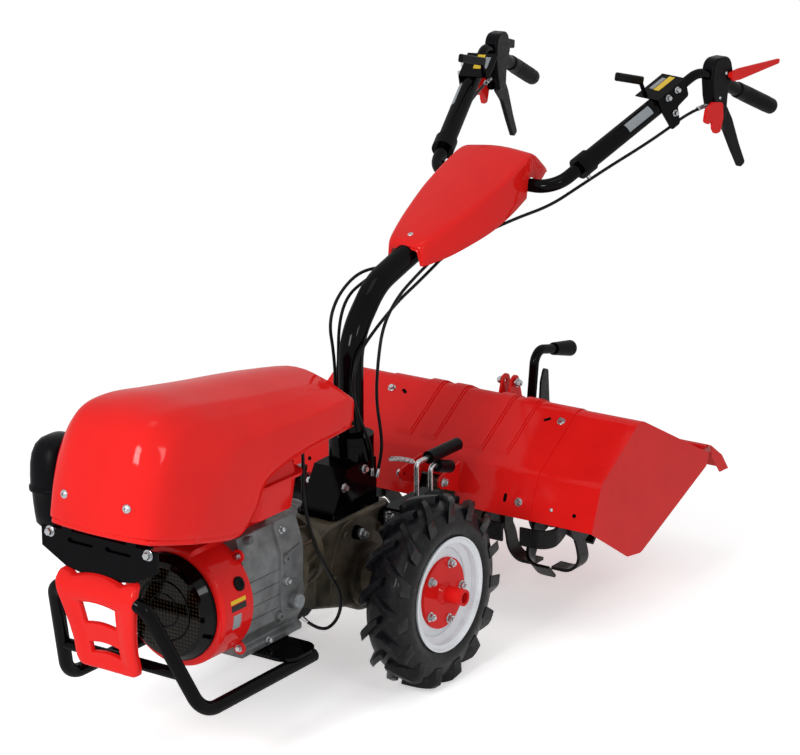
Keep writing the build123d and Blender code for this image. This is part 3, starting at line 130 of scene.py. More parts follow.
def object_point(tree: Tree) -> Socket:
    """The Object coordinate socket of a new Texture Coordinate node."""
    return put(tree, "ShaderNodeTexCoord").outputs["Object"]


def noise(tree: Tree, size_mm: float, detail: float, rough: float = 0.5) -> Socket:
    """Noise whose blotches are about size_mm across, as a socket from 0 to 1."""
    scale = {"Scale": 1000.0 / size_mm, "Detail": detail, "Roughness": rough}
    return put(tree, "ShaderNodeTexNoise", scale | {"Vector": object_point(tree)}).outputs["Fac"]


def between(
    tree: Tree, value: Socket, low: float, high: float, out: tuple[float, float] = (0.0, 1.0)
) -> Socket:
    """value from low..high stretched to the two numbers of out and held inside them."""
    span = {"From Min": low, "From Max": high, "To Min": out[0], "To Max": out[1], "clamp": True}
    return put(tree, "ShaderNodeMapRange", span | {"Value": value}).outputs["Result"]


def tint(tree: Tree, share: Socket, first: str | Socket, second: str) -> Socket:
    """Mixes two colours.

    Args:
        tree: the node tree.
        share: how much of the second colour shows.
        first: a hex code, or the socket of a colour.
        second: a hex code.

    Returns:
        The mixed colour.
    """
    start = linear(first) if isinstance(first, str) else first
    # The node's inputs 6 and 7 are its colours, and its output 2 is the mixed one.
    colours = {"data_type": "RGBA", 0: share, 6: start, 7: linear(second)}
    return put(tree, "ShaderNodeMix", colours).outputs[2]


def combined(tree: Tree, operation: str, first: Socket, second: Socket | float) -> Socket:
    """Two values joined by an operation of the Math node."""
    return put(tree, "ShaderNodeMath", {"operation": operation, 0: first, 1: second}).outputs[0]


@dataclass(frozen=True)
class Finish:
    """A surface finish: how it is coloured, how it shines and how fine its grain is."""

    name: str
    colour: str
    second: str
    roughness: tuple[float, float]
    metallic: float = 0.0
    coat: float = 0.0
    coat_roughness: float = 0.08
    grain_mm: float = 2.0
    grain_depth: float = 0.1
    blotch_mm: float = 60.0
    blotch: float = 0.3
    specular: float = 0.5

    def build(self) -> bpy.types.Material:
        """Makes the node material.

        Returns:
            The material, made once and then shared.
        """
        known = bpy.data.materials.get(self.name)
        if known:
            return known
        material = bpy.data.materials.new(self.name)
        material.use_nodes = True
        tree = material.node_tree
        share = between(tree, noise(tree, self.blotch_mm, 3.0), 0.35, 0.75, (0.0, self.blotch))
        height = self.relief(tree)
        fine = {"Strength": self.grain_depth, "Distance": self.grain_mm / 4000.0, "Height": height}
        settings = {
            "Base Color": self.pattern(tree, tint(tree, share, self.colour, self.second)),
            "Roughness": between(tree, noise(tree, self.blotch_mm / 3, 4.0), 0.3, 0.7, self.roughness),
            "Metallic": self.metallic,
            "Coat Weight": self.coat,
            "Coat Roughness": self.coat_roughness,
            "Specular IOR Level": self.specular,
            "Normal": put(tree, "ShaderNodeBump", fine).outputs["Normal"],
        }
        tune(tree.nodes["Principled BSDF"], settings)
        return material

    def pattern(self, tree: Tree, base: Socket) -> Socket:
        """The colour with this finish's own pattern over it; plain here."""
        return base

    def relief(self, tree: Tree) -> Socket:
        """The height that drives the bump."""
        return noise(tree, self.grain_mm, 3.0, 0.6)


@dataclass(frozen=True)
class TreadRubber(Finish):
    """Carbon-black rubber with patches of dry dust."""

    dust: str = "#4a4845"
    dust_mm: float = 18.0
    dusty: float = 0.2

    def pattern(self, tree: Tree, base: Socket) -> Socket:
        """Dust patches that a fine noise breaks up."""
        share = between(tree, noise(tree, self.dust_mm, 6.0, 0.7), 0.5, 0.75, (0.0, self.dusty))
        return tint(tree, share, base, self.dust)


@dataclass(frozen=True)
class Perforated(Finish):
    """Black moulded plastic with rows of small round vents that show the brown cast fan behind them."""

    pitch_mm: float = 9.0
    behind: str = "#3a2e1d"
    middle: tuple[float, float, float] = (0.0, 0.0, 0.351)
    vented_mm: float = 100.0

    def relief(self, tree: Tree) -> Socket:
        """Dimples on a regular lattice in the X-Z plane: a distance to the nearest cell centre.

        Args:
            tree: the material's node tree.

        Returns:
            0 in a dimple and 1 between dimples.
        """
        turned = put(
            tree, "ShaderNodeMapping", {"Rotation": (math.pi / 2, 0.0, 0.0), "Vector": object_point(tree)}
        )
        lattice = {"Scale": 1000.0 / self.pitch_mm, "Randomness": 0.0, "voronoi_dimensions": "2D"}
        cells = put(tree, "ShaderNodeTexVoronoi", lattice | {"Vector": turned.outputs["Vector"]})
        return between(tree, cells.outputs["Distance"], 0.2, 0.3)

    def pattern(self, tree: Tree, base: Socket) -> Socket:
        """The brown of what lies behind inside the dimples, out to the edge of the vented face.

        Args:
            tree: the material's node tree.
            base: the plain colour, which this finish leaves out.

        Returns:
            The colour with the vents in it.
        """
        across = {"operation": "MULTIPLY", 0: object_point(tree), 1: (1.0, 0.0, 1.0)}
        flat = put(tree, "ShaderNodeVectorMath", across).outputs["Vector"]
        away = put(tree, "ShaderNodeVectorMath", {"operation": "DISTANCE", 0: flat, 1: self.middle})
        edge = self.vented_mm / 1000.0
        plain = between(tree, away.outputs["Value"], edge - 0.001, edge + 0.001)
        return tint(tree, combined(tree, "MAXIMUM", self.relief(tree), plain), self.behind, self.colour)


# Gloss stove enamel on steel: a bright even red under a clear skin with faint orange peel.
RED_ENAMEL = Finish(
    "gloss red stove enamel", "#df1d1b", "#c91817", (0.2, 0.3), coat=0.28, grain_mm=3.0, grain_depth=0.03,
    blotch_mm=120.0, blotch=0.5, specular=0.0,
)
# Injection moulded ABS in the same red: softer shine, a very fine skin texture.
RED_ABS = Finish(
    "red moulded ABS", "#e01e1b", "#cf1a18", (0.22, 0.32), coat=0.28, grain_mm=1.5, grain_depth=0.02,
    blotch_mm=140.0, blotch=0.5, specular=0.0,
)
# White stove enamel on the pressed rim.
WHITE_ENAMEL = Finish(
    "white stove enamel", "#e9eff3", "#d8e0e5", (0.25, 0.4), coat=0.15, grain_mm=3.0, grain_depth=0.05,
    blotch_mm=70.0, blotch=0.6, specular=0.3,
)
# Gloss black powder coat: slightly rippled, picks up narrow highlights.
BLACK_COAT = Finish(
    "black powder coat", "#030305", "#060609", (0.2, 0.3), coat=0.16, grain_mm=2.5, grain_depth=0.06,
    blotch_mm=60.0, blotch=0.6, specular=0.0,
)
# Glass-filled nylon, fine spark-eroded texture, satin.
BLACK_NYLON = Finish(
    "black moulded nylon", "#040407", "#08080c", (0.34, 0.48), grain_mm=0.9, grain_depth=0.2,
    blotch_mm=40.0, blotch=0.5, specular=0.07,
)
# Soft PVC grip.
GRIP_PVC = Finish(
    "black PVC grip", "#040407", "#08080c", (0.42, 0.56), grain_mm=1.2, grain_depth=0.25, blotch_mm=30.0,
    blotch=0.5, specular=0.07,
)
# Cable sheath, extruded PVC.
SHEATH_PVC = Finish(
    "black PVC cable sheath", "#060608", "#0b0b0d", (0.3, 0.42), grain_mm=2.0, grain_depth=0.05,
    blotch_mm=30.0, blotch=0.4, specular=0.12,
)
# Die-cast aluminium, shot-blasted: dull silver, grainy.
DIE_CAST = Finish(
    "die-cast aluminium", "#77797a", "#464748", (0.42, 0.6), metallic=0.5, grain_mm=1.3, grain_depth=0.35,
    blotch_mm=45.0, blotch=0.8, specular=0.25,
)
# Sand-cast gearbox, raw iron brown with oil-stained patches.
GEAR_CAST = Finish(
    "sand-cast gearbox, oily", "#575042", "#1a1815", (0.36, 0.56), metallic=0.3, grain_mm=1.8,
    grain_depth=0.45, blotch_mm=70.0, blotch=1.0, specular=0.2,
)
# Bright zinc plate on fasteners and levers.
ZINC = Finish(
    "bright zinc plate", "#b9bcbe", "#939596", (0.22, 0.36), metallic=1.0, grain_mm=0.8, grain_depth=0.1,
    blotch_mm=14.0, blotch=0.6,
)
# Forged blade steel with dark paint, its tone broken by random patches.
FORGED = Finish(
    "forged blade steel", "#0c0c0e", "#1c1a18", (0.35, 0.55), metallic=0.2, grain_mm=2.0, grain_depth=0.4,
    blotch_mm=25.0, blotch=0.7, specular=0.2,
)
# Turned steel shaft.
TURNED = Finish(
    "turned steel", "#8d8e8f", "#6f7070", (0.25, 0.35), metallic=1.0, grain_mm=0.6, grain_depth=0.1,
    blotch_mm=12.0, blotch=0.4,
)
TYRE_RUBBER = TreadRubber(
    "tyre rubber", "#08090c", "#0f1014", (0.36, 0.54), coat=0.12, grain_mm=1.4, grain_depth=0.3,
    blotch_mm=50.0, blotch=0.6, specular=0.1,
)
VENT_PLASTIC = Perforated(
    "perforated black plastic", "#030304", "#060608", (0.16, 0.24), coat=0.28, grain_mm=3.0,
    grain_depth=0.7, blotch_mm=40.0, blotch=0.3, specular=0.0,
)
# Plain label film where a machine carries printed plates; nothing is printed on these.
LABEL_YELLOW = Finish(
    "blank yellow label film", "#e0bb16", "#d6b012", (0.3, 0.4), grain_mm=0.8, grain_depth=0.05,
    blotch_mm=20.0, blotch=0.3, specular=0.3,
)
LABEL_SILVER = replace(
    LABEL_YELLOW, name="blank silver label film", colour="#8b9094", second="#7f8488", metallic=0.2, blotch=0.4
)
LABEL_BLACK = replace(
    LABEL_YELLOW, name="blank black label film", colour="#0c0c0c", second="#121212", specular=0.2
)
# Painted shade: a black finish that stands for the shadowed inside of a punched hole.
PAINTED_HOLE_SHADE = Finish(
    "painted shade inside a hole", "#020202", "#040404", (0.8, 0.9), grain_mm=0.8, grain_depth=0.05,
    blotch_mm=20.0, blotch=0.3, specular=0.05,
)


# ------------------------------------------------------------------ shapes
@dataclass
class Shape:
    """A mesh worked out as arrays: points in metres and faces as index tuples."""

    points: np.ndarray
    faces: list[tuple[int, ...]]

    def __add__(self, other: "Shape") -> "Shape":
        """Both shapes as one mesh.

        Args:
            other: the shape whose points and faces follow this one's.

        Returns:
            The joined shape.
        """
        step = len(self.points)
        moved = [tuple(i + step for i in face) for face in other.faces]
        return Shape(np.vstack([self.points, other.points]), self.faces + moved)

    def placed(self, matrix: Matrix) -> "Shape":
        """This shape moved by a 4x4 matrix."""
        turn = np.array(matrix)
        return Shape(self.points @ turn[:3, :3].T + turn[:3, 3], list(self.faces))

    def mirrored(self) -> "Shape":
        """The same shape on the machine's other side, still facing outwards."""
        return Shape(self.points * MIRROR, [face[::-1] for face in self.faces])

    def doubled(self) -> "Shape":
        """This shape and its mirror image."""
        return self + self.mirrored()


def join(shapes: Iterable[Shape]) -> Shape:
    """All shapes as one mesh.

    Args:
        shapes: the shapes, in order.

    Returns:
        The joined shape.
    """
    result = Shape(np.zeros((0, 3)), [])
    for shape in shapes:
        result = result + shape
    return result


def grid(x: np.ndarray, y: np.ndarray, z: np.ndarray) -> np.ndarray:
    """Points whose coordinates are stretched to one grid, as (rows, columns, 3)."""
    return np.stack(np.broadcast_arrays(x, y, z), axis=-1)


def around(count: int) -> np.ndarray:
    """Angles in radians at even steps round a full turn."""
    return np.arange(count) * 2 * np.pi / count


def grid_faces(
    rows: int, columns: int, round_rows: bool = False, round_columns: bool = False
) -> list[tuple[int, ...]]:
    """Quads of a grid of points stored row by row.

    Args:
        rows: number of rows of points.
        columns: number of points in a row.
        round_rows: whether the last row joins the first.
        round_columns: whether the last column joins the first.

    Returns:
        The quads as index tuples.
    """
    r = np.arange(rows if round_rows else rows - 1)
    c = np.arange(columns if round_columns else columns - 1)
    r, c = (a.ravel() for a in np.meshgrid(r, c, indexing="ij"))
    r2, c2 = (r + 1) % rows, (c + 1) % columns
    quads = np.stack([r * columns + c, r * columns + c2, r2 * columns + c2, r2 * columns + c], axis=1)
    return [tuple(quad) for quad in quads.tolist()]


def capped(points: np.ndarray, turned_over: bool = False) -> Shape:
    """A closed shape over rings of points, with one face across each end.

    Args:
        points: (rings, points of a ring, 3) in metres.
        turned_over: whether this order of the points faces inwards, so that every face is reversed.

    Returns:
        The closed shape.
    """
    rows, columns = points.shape[:2]
    faces = grid_faces(rows, columns, round_columns=True)
    faces += [tuple(range(columns))[::-1], tuple(range((rows - 1) * columns, rows * columns))]
    if turned_over:
        faces = [face[::-1] for face in faces]
    return Shape(points.reshape(-1, 3), faces)


def lathe(profile: Sequence[Point], segments: int) -> Shape:
    """A profile turned about local Z: point = (r cos t, r sin t, h), with one face across each end.

    Args:
        profile: (radius, height) pairs in millimetres, from the bottom up on the outside.
        segments: points around.

    Returns:
        The closed shape.
    """
    r, h = (np.asarray(profile, float) * MM).T[:, :, None]
    t = around(segments)
    return capped(grid(r * np.cos(t), r * np.sin(t), h))


def bead(radius: float, section: float, segments: int = 64) -> Shape:
    """A round bead about local Z: point = ((R + r cos a) cos t, (R + r cos a) sin t, r sin a).

    Args:
        radius: R, from the axis to the middle of the bead, in millimetres.
        section: r, half the bead's thickness.
        segments: points around.

    Returns:
        The closed bead.
    """
    t, a = around(segments)[:, None], around(8)
    reach = radius + section * np.cos(a)
    points = grid(reach * np.cos(t), reach * np.sin(t), section * np.sin(a)) * MM
    return Shape(points.reshape(-1, 3), grid_faces(segments, 8, True, True))


def along(place: Point, axis: Point, turn: float = 0.0) -> Matrix:
    """A placement in metres whose local Z lies along axis, turned by turn degrees about it."""
    rotation = Vector(axis).normalized().to_track_quat("Z", "Y").to_matrix().to_4x4()
    return Matrix.Translation(Vector(place)) @ rotation @ Matrix.Rotation(math.radians(turn), 4, "Z")


def at(point: Point, axis: Point, turn: float = 0.0) -> Matrix:
    """The same placement for a point given from the axle."""
    return along(from_axle(point), axis, turn)


def tube(path: np.ndarray, diameter: float, count: int) -> Shape:
    """A round tube along a path: point = path point + r (cos t side + sin t up).

    side and up are turned from one tangent to the next by the least rotation, so the tube has no twist.

    Args:
        path: (x, y, z) points in metres.
        diameter: the tube's diameter in millimetres.
        count: points around.

    Returns:
        The closed tube.
    """
    tangents = np.gradient(path, axis=0)
    tangents /= np.linalg.norm(tangents, axis=1)[:, None]
    side = np.cross(tangents[0], (0.0, 0.0, 1.0))
    if np.linalg.norm(side) < 1e-3:
        side = np.cross(tangents[0], (0.0, 1.0, 0.0))
    sides = [side / np.linalg.norm(side)]
    for tangent in tangents[1:]:
        kept = sides[-1] - tangent * np.dot(sides[-1], tangent)
        sides.append(kept / np.linalg.norm(kept))
    sides = np.array(sides)
    ups = np.cross(sides, tangents)
    t = around(count)[:, None]
    r = diameter / 2000.0
    rows = path[:, None] + (r * np.cos(t) * sides[:, None] + r * np.sin(t) * ups[:, None])
    return capped(rows, turned_over=True)


def make(
    name: str, shape: Shape, finish: Finish, body: Body | None, smooth: float = 35.0
) -> bpy.types.Object:
    """Turns a shape into an object that rides on a body.

    Args:
        name: the piece's name.
        shape: its points and faces.
        finish: its surface finish.
        body: the rigid body that carries it, or None for a piece left on no body.
        smooth: the angle in degrees under which edges are shaded smooth.

    Returns:
        The new object.
    """
    mesh = bpy.data.meshes.new(name)
    mesh.from_pydata(shape.points.tolist(), [], shape.faces)
    mesh.update()
    mesh.materials.append(finish.build())
    piece = bpy.data.objects.new(name, mesh)
    bpy.context.scene.collection.objects.link(piece)
    mesh.shade_smooth()
    mesh.set_sharp_from_angle(angle=math.radians(smooth))
    if body is not None:
        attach(piece, body.value)
    log.info("%s: %d faces on %s", name, len(mesh.polygons), body.value if body else "two bodies")
    return piece


# ------------------------------------------------------------------ fasteners and films
@dataclass(frozen=True)
class Bolt:
    """A hexagon bolt head on a washer; as a nut it has a thread end of the stub's length.

    across is its size over the flats, and washer and washer_t the washer's diameter and thickness.
    """

    across: float
    height: float
    washer: float
    washer_t: float
    stub: float = 0.0

    def shape(self) -> Shape:
        """Washer, chamfered hexagon and, for a nut, the thread end standing out of it.

        Returns:
            The closed shapes about local Z, the washer's foot at Z = 0.
        """
        flat = self.across / 2 / math.cos(math.pi / 6)
        w, t, h = self.washer / 2, self.washer_t, self.height
        washer = lathe([(w, 0.0), (w, t - 0.3), (w - 0.4, t)], 20)
        head = lathe([(flat, t), (flat, t + h * 0.8), (flat * 0.93, t + h), (flat * 0.72, t + h)], 6)
        if not self.stub:
            return washer + head
        r, tip = self.across * 0.3, t + h + self.stub
        return washer + head + lathe([(r, t + h), (r, tip - 0.8), (r * 0.8, tip)], 12)


@dataclass(frozen=True)
class DomeScrew:
    """A domed button screw with a drive recess; across is its diameter."""

    across: float
    height: float

    def shape(self) -> Shape:
        """A quarter-round dome: radius falls as the cosine while height rises as the sine.

        Returns:
            The closed shape about local Z.
        """
        a = np.linspace(0.0, 1.25, 7)
        r, h = self.across / 2, self.height
        dome = np.stack([r * np.cos(a), h * np.sin(a)], axis=1)
        return lathe([(r * 1.02, 0.0), *dome, (r * 0.26, h * 0.95), (r * 0.22, h * 0.45)], 20)


def fasten(name: str, kind: Bolt | DomeScrew, places: Sequence[tuple[Point, Point]], body: Body) -> None:
    """Makes a set of fasteners as one piece, each turned a little on from the one before.

    Args:
        name: the piece's name.
        kind: the fastener.
        places: (place in metres, outward axis) pairs.
        body: the rigid body that carries them.
    """
    step = 17.0
    shape = kind.shape()
    placed = [shape.placed(along(*place, step * number)) for number, place in enumerate(places)]
    make(name, join(placed), ZINC, body, 30.0)


def seat(node: str, point: Point) -> tuple[Vector, Vector]:
    """The nearest place on a CAD node's surface.

    Args:
        node: the node's name.
        point: a point near it, from the axle.

    Returns:
        The place in metres and the direction that faces out of the surface there.
    """
    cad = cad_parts[node]
    _, place, normal, _ = cad.closest_point_on_mesh(cad.matrix_world.inverted() @ Vector(from_axle(point)))
    return cad.matrix_world @ place, (cad.matrix_world.to_3x3() @ normal).normalized()


def seated(
    name: str,
    kind: Bolt | DomeScrew,
    node: str,
    points: Sequence[Point],
    body: Body,
    both_sides: bool = False,
) -> None:
    """Makes a set of like fasteners seated on a CAD node.

    Args:
        name: the piece's name.
        kind: the fastener.
        node: the CAD node that carries them.
        points: points near their seats, from the axle.
        body: the rigid body that carries them.
        both_sides: whether each point also stands mirrored on the machine's other side.
    """
    spots = list(points)
    if both_sides:
        spots += [(-x, y, z) for x, y, z in points]
    fasten(name, kind, [seat(node, spot) for spot in spots], body)


def film(
    centre: Point,
    axis: Point,
    out: Point,
    length: float,
    width: float,
    radius: float = 1e4,
    thickness: float = 0.5,
) -> Shape:
    """A thin blank plate bent round a cylinder.

    point = centre + s axis + (r sin t) side + (r cos t - radius) out, with r the radius plus the lift.

    Args:
        centre: the middle of its back, from the axle.
        axis: the cylinder's direction.
        out: the way the plate faces.
        length: its size along the axis.
        width: its size round the cylinder.
        radius: the cylinder's radius; the default is nearly flat.
        thickness: how far it stands out.

    Returns:
        The closed plate, which starts 0.4 mm under its centre.
    """
    run = Vector(axis).normalized()
    face = (Vector(out) - run * Vector(out).dot(run)).normalized()
    across = np.array(face.cross(run))
    s, t = (np.array([-0.5, 0.5]) * length, np.linspace(-0.5, 0.5, 9) * width / radius)
    layers = []
    for r in (radius - 0.4, radius + thickness):
        bend = (r * np.sin(t))[:, None] * across + (r * np.cos(t) - radius)[:, None] * np.array(face)
        layers.append(np.asarray(centre, float) + bend[:, None] + s[:, None] * np.array(run))
    low, high = layers
    return capped(from_axle(np.concatenate([low, high[:, ::-1]], axis=1)))


def painted_slot_shade(length: float, width: float, depth: float = 0.5) -> Shape:
    """A painted shade for a punched slot: a dark stadium outline in local X-Y with a sunk middle.

    Args:
        length: the slot's length along local X, over its round ends.
        width: the slot's width.
        depth: how high the plug's rim stands.

    Returns:
        The closed plug.
    """
    t = np.linspace(0, 2 * np.pi, 24, endpoint=False)
    shift = np.where(np.cos(t) >= 0, 1, -1) * (length - width) / 2
    share, height = np.array(((1.0, 0.0), (1.0, depth), (0.86, depth), (0.8, depth * 0.3))).T[:, :, None]
    r = width / 2 * share
    return capped(grid(shift + r * np.cos(t), r * np.sin(t), height) * MM)


# ------------------------------------------------------------------ wheels
@dataclass
class Tyre:
    """A field tyre: a smooth carcass with two staggered rows of curved lugs."""

    outer_r: float = 231.6
    carcass_r: float = 213.0
    crown_half: float = 44.0
    half_width: float = 55.6
    bead_r: float = 128.0
    bead_half: float = 45.5
    # The share of the sidewall's height below which it narrows to the bead.
    narrows: float = 0.58
    lugs: int = 15
    segments: int = 96

    def carcass(self) -> Shape:
        """A closed section turned about X: point = (x, r cos t, r sin t).

        The crown's radius falls by 7 a^2 + 3 a^6 to each side. The shoulder swells out as a quarter
        sine and then narrows to the bead as the power 1.6, and a flat seat closes the section.

        Returns:
            The closed carcass.
        """
        a = np.linspace(-1.0, 1.0, 13)
        crown = np.stack([a * self.crown_half, self.carcass_r - 7.0 * a**2 - 3.0 * a**6], axis=1)
        b = np.linspace(0.0, 1.0, 12)[1:]
        swell = np.sin(np.minimum(b * 1.75, 1.0) * np.pi / 2)
        shoulder = self.crown_half + (self.half_width - self.crown_half) * swell
        below = ramp(b, self.narrows, 1.0) ** 1.6
        side_x = np.where(
            b > self.narrows, self.half_width - (self.half_width - self.bead_half) * below, shoulder
        )
        side_r = crown[-1, 1] + (self.bead_r - crown[-1, 1]) * b
        right = np.stack([side_x, side_r], axis=1)
        left = right[::-1] * (-1.0, 1.0)
        profile = np.vstack([left, crown, right[:-1], [(self.bead_half, self.bead_r)]])
        t = around(self.segments)[:, None]
        x, r = profile.T
        points = grid(x, r * np.cos(t), r * np.sin(t)).reshape(-1, 3) * MM
        faces = grid_faces(self.segments, len(profile), True, True)
        return Shape(points, [face[::-1] for face in faces])

    def lug(self) -> Shape:
        """One lug of the left row.

        Its centre line runs from the crown to the sidewall: x grows with s while the turning angle
        lags as s squared, and the lug widens towards the shoulder. The top follows the outer
        profile and the foot is sunk into the carcass. Lag and half width are angles in degrees.

        Returns:
            The closed lug.
        """
        s = np.linspace(0.0, 1.0, 9)
        x = np.minimum(-4.0 + 59.0 * s, self.half_width)
        lag = np.radians(1.0 + 11.0 * s + 4.5 * s**2)
        half = np.radians(2.0 + 1.15 * s)
        top = self.outer_r - 1.0 * s - 5.0 * s**4 - 6.0 * ramp(s, 0.86, 1.0) ** 2
        foot = self.carcass_r - np.where(s < 0.85, 14.0, 34.0)
        profile = [(foot, 1.5), (top - 2.2, 1.08), (top, 0.86)]
        rows = []
        for radius, spread in [(r, -w) for r, w in profile] + profile[::-1]:
            angle = lag + half * spread
            rows.append(grid(x, radius * np.cos(angle), radius * np.sin(angle)))
        return capped(np.stack(rows, axis=1) * MM)

    def build(self, middle: float, body: Body) -> None:
        """Makes one tyre in place of its plain CAD ring.

        Args:
            middle: the tyre's middle plane from the machine's middle, in millimetres.
            body: the wheel's body.
        """
        left = self.lug()
        right = left.mirrored()
        pieces = [self.carcass()]
        for number in range(self.lugs):
            turn = number * 360.0 / self.lugs
            pieces.append(left.placed(Matrix.Rotation(math.radians(turn), 4, "X")))
            pieces.append(right.placed(Matrix.Rotation(math.radians(turn + 180.0 / self.lugs), 4, "X")))
        shape = join(pieces).placed(Matrix.Translation(from_axle((middle, 0.0, 0.0))))
        piece = make(f"{body.value}_lugged_tyre", shape, TYRE_RUBBER, body, 38.0)
        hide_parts(body.value.replace("wheel", "tyre"))


@dataclass
class Wheels:
    """Both wheels: lugged tyres, and the bolts that hold each hub to its rim."""

    track: float = 490.0
    bolt_circle: float = 145.0
    bolt_count: int = 5
    bolt_face: float = 38.0
    first_bolt: float = 70.0

    def build(self) -> None:
        """Makes the tyres and the wheel bolts."""
        for side, body in ((1, Body.LEFT_WHEEL), (-1, Body.RIGHT_WHEEL)):
            Tyre().build(side * self.track / 2, body)
            t = np.radians(self.first_bolt + 360.0 / self.bolt_count * np.arange(self.bolt_count))
            r = self.bolt_circle / 2
            x = side * (self.track / 2 + self.bolt_face)
            places = [(from_axle((x, r * math.cos(a), r * math.sin(a))), (side, 0, 0)) for a in t]
            fasten(f"{body.value}_bolts", Bolt(17.0, 9.0, 24.0, 2.0, 5.0), places, body)


# ------------------------------------------------------------------ cables
@dataclass(frozen=True)
class Cable:
    """One sheathed control cable along route points given from the axle."""

    name: str
    route: tuple[tuple[float, float, float], ...]
    diameter: float = 8.0
    sleeve: float = 22.0

    def curve(self) -> bpy.types.Curve:
        """Draws the route as a curve.

        Returns:
            One smooth spline whose control points are the route's points.
        """
        data = bpy.data.curves.new(self.name, "CURVE")
        data.dimensions = "3D"
        data.resolution_u = 10
        points = from_axle(self.route)
        spline = data.splines.new("NURBS")
        spline.points.add(len(points) - 1)
        spline.points.foreach_set("co", np.hstack([points, np.ones((len(points), 1))]).ravel())
        spline.order_u = 3
        spline.use_endpoint_u = True
        return data

    def line(self) -> np.ndarray:
        """Reads the spline itself.

        Returns:
            Points along it in metres.
        """
        data = self.curve()
        carrier = bpy.data.objects.new(self.name, data)
        mesh = bpy.data.meshes.new_from_object(carrier)
        points = np.empty(len(mesh.vertices) * 3)
        mesh.vertices.foreach_get("co", points)
        bpy.data.objects.remove(carrier)
        bpy.data.curves.remove(data)
        bpy.data.meshes.remove(mesh)
        return points.reshape(-1, 3)

    def mirrored(self) -> "Cable":
        """The same cable on the other side."""
        return Cable(self.name.replace("left", "right"), tuple((-x, y, z) for x, y, z in self.route))

    def sheath(self) -> Shape:
        """The round sheath along the spline."""
        return tube(self.line(), self.diameter, 12)

    def ferrule(self) -> Shape:
        """The stepped metal sleeve pressed on the end of the sheath, on the end's own direction.

        Returns:
            The closed sleeve.
        """
        line = self.line()
        r, thin, length = self.diameter / 2 + 0.9, self.diameter / 2 + 0.2, self.sleeve
        profile = [(r, 0), (r, length - 4), (thin, length - 3), (thin, length)]
        return lathe(profile, 16).placed(along(line[-1], line[-3] - line[-1]))


@dataclass
class Cables:
    """All the control cables: along the handlebar, down the column and round the engine."""

    handlebar: Cable = Cable(
        "left_handlebar_cable",
        (
            (38, 348, 700.4), (46, 410, 722), (74, 474, 744), (120, 560, 773), (170, 640, 796),
            (206, 711, 833), (246, 800, 876), (281, 902, 914), (300, 996, 944), (314, 1080, 974),
            (329.8, 1154, 985),
        ),
    )
    engine: Cable = Cable(
        "engine_cable",
        (
            (139.5, -362, 440), (139.5, -359.7, 386), (139.5, -363, 308), (140, -325, 196), (140, -262, 97),
            (140, -212, 30), (138, -228, -28), (130, -288, -40), (107, -331.6, 10),
        ),
    )
    column: tuple[Cable, ...] = (
        Cable(
            "right_outer_cable",
            (
                (-38, 347, 700), (-40, 290, 688), (-43, 215, 700), (-45, 140, 706), (-46, 82, 692),
                (-48, 30, 656), (-48, 4, 604), (-44, 16, 534), (-44, 24, 450), (-62, 24, 370),
                (-62, 24, 300), (-52.4, 24, 240),
            ),
        ),
        Cable(
            "right_inner_cable",
            (
                (-41, 380, 750), (-43, 314, 713), (-51, 232, 688), (-55, 157, 675), (-58, 91, 652),
                (-62, 62, 590), (-62, 60, 480), (-66, 50, 372), (-64, 46, 300), (-52.4, 46, 236),
            ),
        ),
        Cable(
            "left_outer_cable",
            (
                (38, 347, 700), (38, 259, 667), (38, 161, 636), (38, 40, 574), (38, -13, 530),
                (40, -28, 440), (62, 0, 352), (62, 24, 296), (52.4, 34, 240),
            ),
        ),
        Cable(
            "left_inner_cable",
            (
                (41, 380, 750), (43, 314, 713), (49, 232, 690), (54, 140, 656), (57, 75, 600),
                (61, 48, 520), (61, 40, 427), (64, 58, 340), (62, 62, 286), (52.4, 54, 230),
            ),
        ),
    )
    bend_foot: tuple[float, float, float] = (0, 24, 246)
    bend_top: tuple[float, float, float] = (0, 24, 420)

    def build(self) -> None:
        """Makes the cables in place of their CAD tubes, with their end sleeves."""
        pair = [self.handlebar, self.handlebar.mirrored()]
        runs = make("handlebar_cable_runs", join(c.sheath() for c in pair), SHEATH_PVC, Body.HANDLEBAR)
        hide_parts("handlebar_cables")
        make("handlebar_cable_sleeves", join(c.ferrule() for c in pair), ZINC, Body.HANDLEBAR)
        runs = make("engine_cable_run", self.engine.sheath(), SHEATH_PVC, Body.CHASSIS)
        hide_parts("engine_cable")
        make("engine_cable_sleeve", self.engine.ferrule(), ZINC, Body.CHASSIS)
        self.column_runs()

    def column_runs(self) -> None:
        """The cables past the swing joint, made on no body; their sleeves ride on the chassis."""
        runs = make("column_cable_runs", join(c.sheath() for c in self.column), SHEATH_PVC, None)
        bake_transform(runs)
        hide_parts("column_cables")
        make("column_cable_sleeves", join(c.ferrule() for c in self.column), ZINC, Body.CHASSIS)


# ------------------------------------------------------------------ moulded skins
def through(rows: np.ndarray, places: np.ndarray) -> np.ndarray:
    """A smooth curve through rows of points.

    Each span is the cubic whose slope at an end is half the chord between that end's neighbours,
    and the whole chord at the first and the last row.

    Args:
        rows: an array whose first axis counts the points to pass through.
        places: places along it, from 0 to the number of rows less one.

    Returns:
        The array read at those places.
    """
    k = np.clip(places.astype(int), 0, len(rows) - 2)
    t = (places - k).reshape((-1,) + (1,) * (rows.ndim - 1))
    p1, p2 = rows[k], rows[k + 1]
    m1 = (p2 - rows[np.maximum(k - 1, 0)]) / np.where(k > 0, 2, 1).reshape(t.shape)
    m2 = (rows[np.minimum(k + 2, len(rows) - 1)] - p1) / np.where(k + 2 < len(rows), 2, 1).reshape(t.shape)
    ends = (2 * t**3 - 3 * t**2 + 1) * p1 + (t**3 - 2 * t**2 + t) * m1
    return ends + (3 * t**2 - 2 * t**3) * p2 + (t**3 - t**2) * m2


